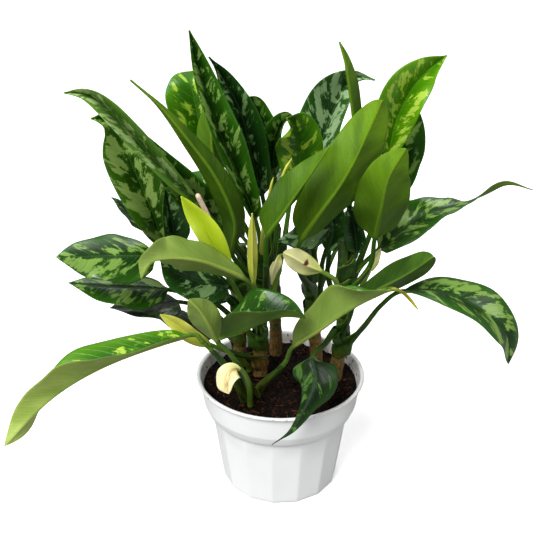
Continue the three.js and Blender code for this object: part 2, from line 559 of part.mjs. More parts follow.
function potGeometry() {
  const bodyTop = COLLAR_FOOT_Z - 3;
  const outside = [
    potRing(0, (k) => bodyRadius(BASE_CORNER_RADIUS - 2, 0, k)),
    potRing(1.5, (k) => bodyRadius(BASE_CORNER_RADIUS, 0, k)),
    potRing(bodyTop * 0.6, (k) => bodyRadius(BASE_CORNER_RADIUS + (BODY_TOP_RADIUS - BASE_CORNER_RADIUS) * 0.6, 0, k)),
    potRing(bodyTop * 0.9, (k) => bodyRadius(BASE_CORNER_RADIUS + (BODY_TOP_RADIUS - BASE_CORNER_RADIUS) * 0.9, 0.4, k)),
    potRing(bodyTop, () => BODY_TOP_RADIUS),
    potRing(COLLAR_FOOT_Z, () => COLLAR_FOOT_RADIUS - 1.4),
    potRing(COLLAR_FOOT_Z + 2, () => COLLAR_FOOT_RADIUS),
    potRing(COLLAR_FOOT_Z + 10, () => COLLAR_FOOT_RADIUS + 3.4),
    potRing(POT_HEIGHT - LIP_HEIGHT, () => COLLAR_TOP_RADIUS),
    potRing(POT_HEIGHT - LIP_HEIGHT + 0.6, () => RIM_RADIUS),
    potRing(POT_HEIGHT - 0.8, () => RIM_RADIUS),
    potRing(POT_HEIGHT, () => RIM_RADIUS - 0.9),
  ];
  const inside = INSIDE.map(([z, radius]) => potRing(z, () => radius)).reverse();
  const body = solidOf(loft([...outside, ...inside].reverse().map((ring) => [...ring].reverse())));
  const holes = [];
  for (let k = 0; k < DRAIN_HOLES; k++) {
    const turn = (2 * Math.PI * k) / DRAIN_HOLES;
    holes.push(
      wasm.Manifold.cylinder(FLOOR + 2, DRAIN_RADIUS, DRAIN_RADIUS, 16).translate([
        DRAIN_RING_RADIUS * Math.sin(turn),
        -DRAIN_RING_RADIUS * Math.cos(turn),
        -1,
      ]),
    );
  }
  return geometryOf(body.subtract(wasm.Manifold.union(holes)));
}

// Every stem that stands in the soil, grown by the gap and reaching below its foot.
function soilHoles() {
  const holes = Object.values(CANES).map((cane) => {
    const [foot, ...rest] = cane.route;
    const deeper = [foot[0], foot[1], foot[2] - HOLE_DEPTH];
    return solidOf(loft(caneRings({ ...cane, route: [deeper, ...rest] }, SOIL_GAP)));
  });
  for (const leaf of [...Object.values(LEAVES), ...Object.values(SPATHES)]) {
    if (leaf.foot) continue;
    const [[x, y, z]] = leaf.petiole;
    const curve = curveThrough([[x, y, z - HOLE_DEPTH], ...leaf.petiole]);
    holes.push(solidOf(loft(stemRings(curve, () => PETIOLE_FOOT, 12, 12, SOIL_GAP))));
  }
  return wasm.Manifold.union(holes);
}

function soilGeometry() {
  const levels = [FLOOR + SOIL_GAP, FLOOR + 2, COLLAR_FOOT_Z - 1, COLLAR_FOOT_Z + 3, SOIL_TOP_Z];
  const rings = levels.map((z) => potRing(z, () => insideRadius(z + 0.01) - SOIL_GAP));
  const rimRadius = insideRadius(SOIL_TOP_Z) - SOIL_GAP;
  for (const share of [0.85, 0.6, 0.35, 0.12]) {
    const z = (k) => SOIL_TOP_Z + SOIL_HUMP * (1 - share) + Math.sin(k * 0.9 + share * 9) * 0.7;
    rings.push(potRing(0, () => rimRadius * share).map((point, k) => point.setZ(z(k))));
  }
  return geometryOf(solidOf(loft(rings)).subtract(soilHoles()));
}

const plant = new THREE.Group();

function addPiece(name, geometry, color, roughness) {
  const material = new THREE.MeshStandardMaterial({ color, roughness });
  material.name = name;
  const mesh = new THREE.Mesh(geometry, material);
  mesh.name = name;
  plant.add(mesh);
}

addPiece("pot", potGeometry(), 0xe8e8e6, 0.4);
addPiece("soil", soilGeometry(), 0x2a1a12, 0.95);
for (const [name, cane] of Object.entries(CANES)) {
  addPiece(name, loft(caneRings(cane)), 0x7a7a3c, 0.7);
}
for (const [name, leaf] of Object.entries(LEAVES)) {
  addPiece(name, leafGeometry(leaf), 0x2f7022, 0.35);
}
for (const [name, spathe] of Object.entries(SPATHES)) {
  addPiece(name, leafGeometry(spathe), 0xd8dc90, 0.5);
}
const spadixRadius = (share) => SPADIX.foot + (SPADIX.top - SPADIX.foot) * share;
addPiece("spadix_lime", loft(stemRings(curveThrough(SPADIX.route), spadixRadius, 8, 6)), 0xe0c0a8, 0.6);

export default plant;
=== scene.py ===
# %% [markdown]
# # A potted chinese evergreen
# The real object is a bushy foliage plant about half a metre across: five short canes in a white plastic
# pot, and some forty long, pointed, blotched leaves that arch out on green petioles, with a few pale
# spathes among them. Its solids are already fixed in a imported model. Here each of them gets a finer
# surface in the same place, and the finish that the real one has. The plant's shapes are typed in
# millimetres and made metres at the end. Floor, lights, camera and whatever a shader reads in object
# coordinates are in metres.

import bpy
import numpy as np
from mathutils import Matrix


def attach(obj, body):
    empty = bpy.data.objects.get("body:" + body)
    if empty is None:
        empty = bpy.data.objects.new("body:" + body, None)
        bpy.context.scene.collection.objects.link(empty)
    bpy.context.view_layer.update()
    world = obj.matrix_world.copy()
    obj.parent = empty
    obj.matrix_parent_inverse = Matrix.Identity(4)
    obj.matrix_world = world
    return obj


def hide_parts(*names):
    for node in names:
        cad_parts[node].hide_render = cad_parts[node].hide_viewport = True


MM = 0.001
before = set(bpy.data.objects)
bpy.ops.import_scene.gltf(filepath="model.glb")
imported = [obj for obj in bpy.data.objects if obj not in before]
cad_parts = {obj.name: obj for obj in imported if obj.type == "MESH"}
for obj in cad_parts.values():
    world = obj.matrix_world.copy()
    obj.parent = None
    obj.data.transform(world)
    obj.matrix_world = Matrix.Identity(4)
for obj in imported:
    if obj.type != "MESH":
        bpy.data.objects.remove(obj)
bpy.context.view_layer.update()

# %% [markdown]
# ## Curves
# Every stem and midrib of the plant is one smooth bend. A Bezier object would do, but its handles have to
# be set by hand. A Catmull-Rom curve only needs the points that it runs through, and the solids were made
# with the same one, so the finer pieces land exactly on them.


# %% Curves through points
def unit(vectors):
    """Vectors divided by their own length."""
    return vectors / np.maximum(np.linalg.norm(vectors, axis=-1, keepdims=True), 1e-12)


def curve_through(points, share):
    """Places and unit directions at shares 0..1 of a uniform Catmull-Rom curve.

    Between two points the curve is the cubic that leaves each along the line between its two neighbours.
    The curve's ends are given a mirrored neighbour, so that it leaves them straight."""
    p = np.asarray(points, float)
    p = np.vstack([2 * p[0] - p[1], p, 2 * p[-1] - p[-2]])
    place = np.clip(share, 0, 1) * (len(p) - 3)
    k = np.minimum(place.astype(int), len(p) - 4)
    f = (place - k)[:, None]
    a, b, c, d = p[k], p[k + 1], p[k + 2], p[k + 3]
    square, cube = 2 * a - 5 * b + 4 * c - d, 3 * b - a - 3 * c + d
    spot = 0.5 * (2 * b + (c - a) * f + square * f**2 + cube * f**3)
    slope = 0.5 * ((c - a) + 2 * square * f + 3 * cube * f**2)
    return spot, unit(slope)


def smooth(low, high, x):
    """0 below low, 1 above high, and 3t^2 - 2t^3 between them."""
    t = np.clip((x - low) / (high - low), 0, 1)
    return t * t * (3 - 2 * t)


def eased(entries, share):
    """Values or directions at shares 0..1 of a list of evenly spaced entries, each eased into the next."""
    table = np.asarray(entries, float)
    if len(table) == 1:
        return np.repeat(table, len(share), axis=0)
    place = np.clip(share, 0, 1) * (len(table) - 1)
    k = np.minimum(place.astype(int), len(table) - 2)
    f = smooth(0, 1, place - k)
    f = f.reshape(f.shape + (1,) * (table.ndim - 1))
    return table[k] * (1 - f) + table[k + 1] * f


def square_to(directions, tangents):
    """The part of each direction that is square to its tangent, at unit length."""
    return unit(directions - np.sum(directions * tangents, axis=-1, keepdims=True) * tangents)


def carried(first, tangents):
    """A direction handed along a path from station to station, always made square to it, without twist."""
    up = [square_to(np.asarray(first, float), tangents[0])]
    for tangent in tangents[1:]:
        up.append(square_to(up[-1], tangent))
    return np.array(up)


def full_turn(count):
    """Evenly spread angles of one full turn."""
    return np.linspace(0, 2 * np.pi, count, endpoint=False)


# %% [markdown]
# ## From rings to a mesh
# Pot, canes, petioles and blades are all rings strung along a line. So one helper turns an array of rings
# into a closed mesh: quads between neighbouring rings and a fan of triangles over each end. The faces are
# worked out as whole arrays, which is many times faster than a loop over the vertices.


# %% One mesh from rings
def in_scene(name, mesh):
    """Puts a mesh into the scene as a smooth piece that rides on the plant's one body."""
    mesh.shade_smooth()
    piece = bpy.data.objects.new(name, mesh)
    bpy.context.scene.collection.objects.link(piece)
    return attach(piece, "root")


def ring_quads(stations, count):
    """Quads that join points k and k + 1 of each ring to those of the next one."""
    k, near = np.arange(count), np.arange(stations - 1)[:, None] * count
    turn = (k + 1) % count
    return np.stack([near + k, near + turn, near + count + turn, near + count + k], axis=-1).reshape(-1, 4)


def ring_piece(name, rings, uv=None, values=None):
    """A closed mesh from rings[station, point, xyz] in millimetres, with a fan to the middle of each end.

    uv[station, point, 2] becomes the UV map "surface", and each array in values a point attribute."""
    stations, count = rings.shape[:2]
    total, last, k = stations * count, (stations - 1) * count, np.arange(count)
    turn = (k + 1) % count
    fans = np.stack([np.full(count, total), turn, k], axis=-1).tolist()
    fans += np.stack([np.full(count, total + 1), last + k, last + turn], axis=-1).tolist()

    def over_points(grid):
        """A grid as a list of points, with the means of both end rings for the fans' middles."""
        flat = np.asarray(grid, float).reshape(total, -1)
        return np.vstack([flat, flat[:count].mean(0), flat[-count:].mean(0)])

    mesh = bpy.data.meshes.new(name)
    mesh.from_pydata((over_points(rings) * MM).tolist(), [], ring_quads(stations, count).tolist() + fans)
    if uv is not None:
        corner = np.empty(len(mesh.loops), np.int32)
        mesh.loops.foreach_get("vertex_index", corner)
        layer = mesh.uv_layers.new(name="surface")
        layer.data.foreach_set("uv", over_points(uv)[corner].astype(np.float32).ravel())
    for label, grid in (values or {}).items():
        layer = mesh.attributes.new(label, "FLOAT", "POINT")
        layer.data.foreach_set("value", over_points(grid)[:, 0].astype(np.float32))
    return in_scene(name, mesh)


def fanned(centres, radii, first, second, angle):
    """Points round each station: centre + radius * (first * cos(angle) + second * sin(angle))."""
    spokes = first[:, None] * np.cos(angle)[..., None] + second[:, None] * np.sin(angle)[..., None]
    return centres[:, None] + np.asarray(radii)[..., None] * spokes


def stem_rings(centres, tangents, radii):
    """Round rings along a path, with one radius for each station and side, carried without twist."""
    across = carried((1.0, 0.0, 0.0), tangents)
    return fanned(centres, radii, across, np.cross(tangents, across), full_turn(radii.shape[1]))


# %% [markdown]
# ## A short way to write shader nodes
# A material is a graph of small nodes. Written out in full, each node takes four lines, so this helper
# makes a node, sets its properties and fills its inputs in one call. An input that is given another
# node's output is linked.


# %% Shader node helpers
def wire(tree, kind, inputs=None, **settings):
    """Makes one shader node. inputs maps an input's name or number to a value or another node's output."""
    node = tree.nodes.new("ShaderNode" + kind)
    for key, value in settings.items():
        setattr(node, key, value)
    for key, value in (inputs or {}).items():
        if isinstance(value, bpy.types.NodeSocket):
            tree.links.new(value, node.inputs[key])
        else:
            node.inputs[key].default_value = value
    return node


def math(tree, operation, *inputs):
    """The output of one Math node."""
    return wire(tree, "Math", dict(enumerate(inputs)), operation=operation).outputs[0]


def times(tree, a, b):
    """a times b."""
    return math(tree, "MULTIPLY", a, b)


def blend(tree, share, a, b):
    """The output of a Mix node that goes from colour a to colour b."""
    a, b = ((*colour, 1.0) if isinstance(colour, tuple) else colour for colour in (a, b))
    return wire(tree, "Mix", {0: share, 6: a, 7: b}, data_type="RGBA").outputs[2]


def step(tree, value, low, high, start=0.0, stop=1.0):
    """A value mapped smoothly from low..high to start..stop."""
    inputs = {0: value, 1: low, 2: high, 3: start, 4: stop}
    return wire(tree, "MapRange", inputs, interpolation_type="SMOOTHSTEP").outputs[0]


def noise(tree, vector, scale, detail=2.0, roughness=0.5, distortion=0.0):
    """The grey output of a Noise texture, about 0.2 to 0.8."""
    inputs = {"Vector": vector, "Scale": scale, "Detail": detail, "Roughness": roughness}
    return wire(tree, "TexNoise", {**inputs, "Distortion": distortion}).outputs["Fac"]


def stretched(tree, vector, scale, location=(0.0, 0.0, 0.0)):
    """A vector scaled by its own amount along each axis."""
    inputs = {"Vector": vector, "Scale": scale, "Location": location}
    return wire(tree, "Mapping", inputs).outputs[0]


def mark(tree, label):
    """A point attribute of the piece."""
    return wire(tree, "Attribute", attribute_name=label).outputs["Fac"]


def surface(tree):
    """The piece's own UV map."""
    return wire(tree, "UVMap", uv_map="surface").outputs[0]


def in_object(tree):
    """Object coordinates, in metres."""
    return wire(tree, "TexCoord").outputs["Object"]


def new_material(name):
    """A material with only its Principled BSDF, its node tree and the shader's inputs."""
    material = bpy.data.materials.new(name)
    material.use_nodes = True
    tree = material.node_tree
    return material, tree, tree.nodes["Principled BSDF"].inputs


def finish(tree, shader, colour, rough, bump=None, gloss=0.5):
    """Links colour and roughness, sets the shine, and bump = (strength, depth, height) feeds the normal."""
    tree.links.new(colour, shader["Base Color"])
    tree.links.new(rough, shader["Roughness"])
    shader["Specular IOR Level"].default_value = gloss
    if bump:
        inputs = dict(zip(("Strength", "Distance", "Height"), bump))
        tree.links.new(wire(tree, "Bump", inputs).outputs[0], shader["Normal"])


def rgb(red, green, blue):
    """A colour as read off a screen, 0..255 a channel, made the linear colour that a shader works with."""
    screen = np.array([red, green, blue]) / 255
    linear = np.where(screen <= 0.04045, screen / 12.92, ((screen + 0.055) / 1.055) ** 2.4)
    return tuple(linear.tolist())


# %% [markdown]
# ## The pot
# The real pot is a thin injection-moulded one of white plastic: a flat-sided body, a plain round collar
# above it and a thin lip. It is turned from one profile, outside up and inside down, so it is a single
# closed skin. A boolean of cylinders would give the same form, but not the soft little roundings where
# the steps meet.

# %% Pot sizes and profile
POT_HEIGHT = 118
RIM_RADIUS = 82.5
LIP_HEIGHT = 3
COLLAR_TOP_RADIUS = 79.5
COLLAR_FOOT_RADIUS = 72.5
COLLAR_FOOT_Z = 80
BODY_TOP_RADIUS = 68
BASE_CORNER_RADIUS = 57.6
BODY_TOP_Z = COLLAR_FOOT_Z - 3
FLATS = 15
FIRST_CORNER = np.radians(-79.3)
WALL = 1.6
FLOOR = 2.6
FLOOR_RING = 20
SOIL_TOP_Z = 106
POT_SIDES = 240
CORNER_CUT = 1.0
PROFILE_STEP = 4
OUTSIDE = [
    (BASE_CORNER_RADIUS - 8, 0), (BASE_CORNER_RADIUS - 1.6, 0), (BASE_CORNER_RADIUS, 1.6),
    (BASE_CORNER_RADIUS + (BODY_TOP_RADIUS - BASE_CORNER_RADIUS) * 0.5, BODY_TOP_Z * 0.5),
    (BODY_TOP_RADIUS, BODY_TOP_Z), (COLLAR_FOOT_RADIUS - 1.4, COLLAR_FOOT_Z),
    (COLLAR_FOOT_RADIUS, COLLAR_FOOT_Z + 2), (COLLAR_FOOT_RADIUS + 3.4, COLLAR_FOOT_Z + 10),
    (COLLAR_TOP_RADIUS, POT_HEIGHT - LIP_HEIGHT), (RIM_RADIUS, POT_HEIGHT - LIP_HEIGHT + 0.6),
    (RIM_RADIUS, POT_HEIGHT - 0.8), (RIM_RADIUS - 0.9, POT_HEIGHT),
]
INSIDE = [
    (53.4, FLOOR), (54.8, FLOOR + 2), (BODY_TOP_RADIUS - WALL - 0.6, COLLAR_FOOT_Z - 1),
    (COLLAR_FOOT_RADIUS - WALL - 0.4, COLLAR_FOOT_Z + 3), (COLLAR_TOP_RADIUS - WALL, POT_HEIGHT - LIP_HEIGHT),
    (COLLAR_TOP_RADIUS - 0.6, POT_HEIGHT - 0.6),
]


def rounded(profile, cut, steps=4):
    """A profile with each inner corner replaced by the quadratic curve between two points beside it."""
    p = np.asarray(profile, float)
    before, corner, after = p[:-2], p[1:-1], p[2:]
    near = np.minimum(cut, 0.45 * np.linalg.norm(corner - before, axis=1))[:, None]
    far = np.minimum(cut, 0.45 * np.linalg.norm(after - corner, axis=1))[:, None]
    start, stop = corner + unit(before - corner) * near, corner + unit(after - corner) * far
    t = np.linspace(0, 1, steps)[:, None, None]
    arcs = (1 - t) ** 2 * start + 2 * t * (1 - t) * corner + t**2 * stop
    return np.vstack([p[:1], arcs.transpose(1, 0, 2).reshape(-1, 2), p[-1:]])


def flat_shrink(turn):
    """How far in a flat lies at an angle, as a share of the corner's radius.

    That is the cosine of half a flat over the cosine of the angle from the flat's middle."""
    flat = 2 * np.pi / FLATS
    off = (turn - FIRST_CORNER) % flat - flat / 2
    return np.cos(flat / 2) / np.cos(off)


def pot_rings():
    """Rings of the turned profile. Below the collar the flats draw each radius in, less near the top."""
    profile = rounded([*OUTSIDE, *INSIDE[::-1]], CORNER_CUT)
    profile = np.vstack([[FLOOR_RING, 0], profile, [FLOOR_RING, FLOOR]])
    steps = np.ceil(np.linalg.norm(np.diff(profile, axis=0), axis=1) / PROFILE_STEP).astype(int).clip(1)
    parts = [np.linspace(a, b, n, endpoint=False) for a, b, n in zip(profile[:-1], profile[1:], steps)]
    radius, z = np.vstack([*parts, profile[-1:]]).T
    turn = FIRST_CORNER + full_turn(POT_SIDES)
    outer = np.arange(len(z)) < np.argmax(radius)
    depth = np.where(outer, 1 - 0.75 * smooth(0.75, 1.0, z / BODY_TOP_Z), 0)
    depth = depth * (z < COLLAR_FOOT_Z - 1) * (radius > 2 * FLOOR_RING)
    radius = radius[:, None] * (1 - depth[:, None] * (1 - flat_shrink(turn)))
    height = np.repeat(z[:, None], POT_SIDES, axis=1)
    inside = (~outer & (z > SOIL_TOP_Z - 6))[:, None] * smooth(POT_HEIGHT, POT_HEIGHT - 2.5, height)
    return np.stack([radius * np.sin(turn), -radius * np.cos(turn), height], axis=-1), {"inside": inside}


rings, marks = pot_rings()
pot = ring_piece("pot_fine", rings, values=marks)
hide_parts("pot")
print("pot:", len(pot.data.polygons), "faces")

# %% [markdown]
# ## The soil
# Damp peat fills the pot to a finger's width below the rim, a little higher in the middle. Displacing a
# plane with a texture would do for the surface, but the crumbs and root fibres that catch the light have
# to be real pieces.

# %% Soil surface
SOIL_HUMP = 2.2
SOIL_GAP = 0.4
SOIL_RADIUS = 76
SOIL_SIDES = 220
SOIL_RINGS = 60
RIPPLES = [(0.8, 3, 30), (0.7, 4, 9), (0.45, 5, 4)]
WAVES_SUMMED = 12
INSIDE_R, INSIDE_Z = np.array(INSIDE).T


def ripple(x, y, seed, size):
    """A smooth bumpy height field: a sum of waves with seeded directions and phases, about -1..1."""
    rng = np.random.default_rng(seed)
    angle, phase, pitch = rng.uniform(0, 2 * np.pi, (3, WAVES_SUMMED))
    wave = 2 * np.pi / (size * (0.6 + pitch / 5))
    lines = np.multiply.outer(x, np.cos(angle) * wave) + np.multiply.outer(y, np.sin(angle) * wave)
    return np.sin(lines + phase).sum(-1) / 5


def soil_height(x, y):
    """Height of the soil: the fill height, a hump in the middle and ripples of three sizes."""
    hump = SOIL_TOP_Z + SOIL_HUMP * (1 - np.hypot(x, y) / SOIL_RADIUS)
    return hump + sum(tall * ripple(x, y, seed, size) for tall, seed, size in RIPPLES)


def soil_rings():
    """The fill's side follows the pot's inside a gap away, and its top is a disc at the soil's height."""
    side_z = np.array([FLOOR + SOIL_GAP, FLOOR + 2, COLLAR_FOOT_Z - 1, COLLAR_FOOT_Z + 3, SOIL_TOP_Z - 2])
    side_r = np.interp(side_z, INSIDE_Z, INSIDE_R) - SOIL_GAP
    top_r = (np.interp(SOIL_TOP_Z, INSIDE_Z, INSIDE_R) - SOIL_GAP) * np.linspace(1, 0.01, SOIL_RINGS)
    turn = full_turn(SOIL_SIDES)
    radius = np.concatenate([side_r, top_r])[:, None]
    x, y = radius * np.sin(turn), -radius * np.cos(turn)
    top = len(side_z)
    z = np.vstack([np.repeat(side_z[:, None], SOIL_SIDES, axis=1), soil_height(x[top:], y[top:])])
    return np.stack([x, y, z], axis=-1)


soil = ring_piece("soil_fine", soil_rings())
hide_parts("soil")
print("soil:", len(soil.data.polygons), "faces")

# %% Crumbs and fibres
CRUMBS = 900
FIBRES = 170
CRUMB_GRID = (5, 6)
CRUMB_SIZES = (0.5, 1.5)
STREWN_RADIUS = 73
FIBRE_RADIUS = 68
FIBRE_LENGTHS = (3, 11)
FIBRE_THICKNESS = (0.12, 0.3)
FIBRE_STATIONS = 7


def many_pieces(name, shapes):
    """One mesh of many small closed shells, shapes[shell, station, point, xyz], all of the same grid."""
    count, stations, around = shapes.shape[:3]
    k = np.arange(around)
    step_up = np.arange(count)[:, None, None] * stations * around
    ends = np.stack([k[::-1], k + (stations - 1) * around])
    quads = (ring_quads(stations, around) + step_up).reshape(-1, 4)
    ends = (ends + step_up).reshape(-1, around)
    mesh = bpy.data.meshes.new(name)
    mesh.from_pydata((shapes.reshape(-1, 3) * MM).tolist(), [], quads.tolist() + ends.tolist())
    return in_scene(name, mesh)


def strewn(rng, amount, radius, least=0.0):
    """Seeded places spread evenly over a disc: radius times the square root of an even share."""
    turn, far = rng.uniform(0, 2 * np.pi, amount), radius * np.sqrt(rng.uniform(least, 1, amount))
    return far * np.sin(turn), -far * np.cos(turn)


def crumbs(amount, seed):
    """Small lumps strewn over the disc: each a rounded grid whose points move in or out by seeded amounts."""
    rng = np.random.default_rng(seed)
    x, y = strewn(rng, amount, STREWN_RADIUS, 0.01)
    size = rng.uniform(*CRUMB_SIZES, amount) ** 1.5
    middle = np.stack([x, y, soil_height(x, y) + 0.3 * size], axis=-1)[:, None, None]
    polar, around = np.linspace(0.3, np.pi - 0.3, CRUMB_GRID[0])[:, None], full_turn(CRUMB_GRID[1])
    wide, tall = np.sin(polar), -np.cos(polar) + 0 * around
    ball = np.stack([wide * np.cos(around), wide * np.sin(around), tall], axis=-1)
    lumpy = rng.uniform(0.65, 1.25, (amount, *CRUMB_GRID, 1)) * rng.uniform(0.7, 1.3, (amount, 1, 1, 3))
    return middle + ball * lumpy * size[:, None, None, None]


def fibres(amount, seed):
    """Thin bent threads that lie on the soil: a five-sided ring carried along an arched, curving line."""
    rng = np.random.default_rng(seed)
    middle_x, middle_y = strewn(rng, amount, FIBRE_RADIUS)
    heading = rng.uniform(0, 2 * np.pi, (amount, 1))
    length = rng.uniform(*FIBRE_LENGTHS, (amount, 1))
    bend = rng.normal(0, 1.2, (amount, 1))
    t = np.linspace(-0.5, 0.5, FIBRE_STATIONS)
    angle = heading + bend * t
    x = middle_x[:, None] + length * np.cumsum(np.cos(angle), axis=1) / FIBRE_STATIONS
    y = middle_y[:, None] + length * np.cumsum(np.sin(angle), axis=1) / FIBRE_STATIONS
    inwards = np.minimum(1, STREWN_RADIUS / np.maximum(np.hypot(x, y), 1))
    x, y = x * inwards, y * inwards
    z = soil_height(x, y) + 0.5 + rng.uniform(0, 1.2, (amount, 1)) * (1 - (2 * t) ** 2)
    ring = full_turn(5)[:, None]
    thick = rng.uniform(*FIBRE_THICKNESS, (amount, 1, 1)) * np.where(np.abs(t) > 0.49, 0.4, 1)[:, None]
    sideways = np.stack([-np.sin(angle), np.cos(angle), 0 * angle], axis=-1)[:, :, None]
    circle = sideways * np.cos(ring) + np.array([0, 0, 1.0]) * np.sin(ring)
    return np.stack([x, y, z], axis=-1)[:, :, None] + thick[..., None] * circle


litter = [many_pieces("soil_crumbs", crumbs(CRUMBS, 7)), many_pieces("soil_fibres", fibres(FIBRES, 8))]
print("litter:", [len(piece.data.polygons) for piece in litter])

# %% [markdown]
# ## The canes
# Each cane is a leafy stem. Its foot is woody and tan, higher up it is green, and at every node an old
# leaf has left a thin raised scar, rusty brown. Rings along a curve give the stem, and the scars are only
# a little extra radius, with an attribute that tells the material where they are.

# %% Cane table and surfaces
CANES = {
    "cane_center": dict(
        route=[(-20, 12, 72), (-20, 12, 130), (-19, 8, 200), (-18, 6, 248)], foot=8, top=5.5),
    "cane_left": dict(route=[(-42, 30, 72), (-41, 28, 120), (-38, 24, 180), (-37, 22, 246)], foot=7, top=5),
    "cane_mid_right": dict(
        route=[(38, 41, 72), (37, 40, 120), (30, 36, 180), (23, 32, 246)], foot=7, top=5),
    "cane_right": dict(
        route=[(54, 8, 72), (55, 7, 110), (60, 4, 160), (59, 1, 215), (57, 0, 262)], foot=7.5, top=5),
    "cane_back": dict(route=[(-4, 52, 72), (-4, 53, 120), (-6, 56, 190), (-4, 60, 250)], foot=7, top=5),
}
CANE_STATIONS = 150
CANE_SIDES = 40
FIRST_SCAR_ABOVE = 110
SCARS = 4
SCAR_STEPS = (9, 15)
SCAR_HEIGHT = 0.45
WOOD_ENDS, WOOD_FULL = 165, 112


def cane_piece(name, cane, seed):
    """Radius runs evenly from foot to top, plus a narrow bell at each scar, plus a slow seeded unevenness."""
    share = np.linspace(0, 1, CANE_STATIONS)
    centres, tangents = curve_through(cane["route"], share)
    height = centres[:, 2:]
    scars = FIRST_SCAR_ABOVE + np.cumsum(np.random.default_rng(seed).uniform(*SCAR_STEPS, SCARS))
    scar = np.exp(-(((height - scars) / 1.1) ** 2)).sum(1)
    above = np.exp(-(((height - scars - 3.0) / 3.0) ** 2)).sum(1)
    turn = full_turn(CANE_SIDES)
    radii = cane["foot"] + (cane["top"] - cane["foot"]) * share + SCAR_HEIGHT * scar + 0.25 * above
    radii = radii[:, None] + 0.25 * ripple(turn[None] * 5, height * 0.4, seed, 9)
    radii *= np.where(share > 0.985, 0.8, 1.0)[:, None]
    grid = np.ones((CANE_STATIONS, CANE_SIDES))
    uv = np.stack([grid * turn, grid * height / 10], axis=-1)
    marks = {"scar": grid * scar[:, None], "wood": grid * smooth(WOOD_ENDS, WOOD_FULL, height)}
    piece = ring_piece(name + "_fine", stem_rings(centres, tangents, radii), uv=uv, values=marks)
    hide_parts(name)
    return piece


cane_pieces = [cane_piece(name, cane, 20 + k) for k, (name, cane) in enumerate(CANES.items())]
print("canes:", len(cane_pieces))

# %% [markdown]
# ## The leaves
# A leaf is a stem that turns into a blade: a round petiole clasps its cane, and at the blade's base its
# rings open into a thin folded sheet with a raised midrib below and a groove above. Modelling forty of
# these by hand is slow, and a change to one would have to be made to all. So every leaf is one row in a
# table, and one function makes the whole surface from that row. The rows whose names start with back_ are
# guesses, and the others follow the real plant.

# %% Leaf table
RISE = 0.78
FALL = 1.05

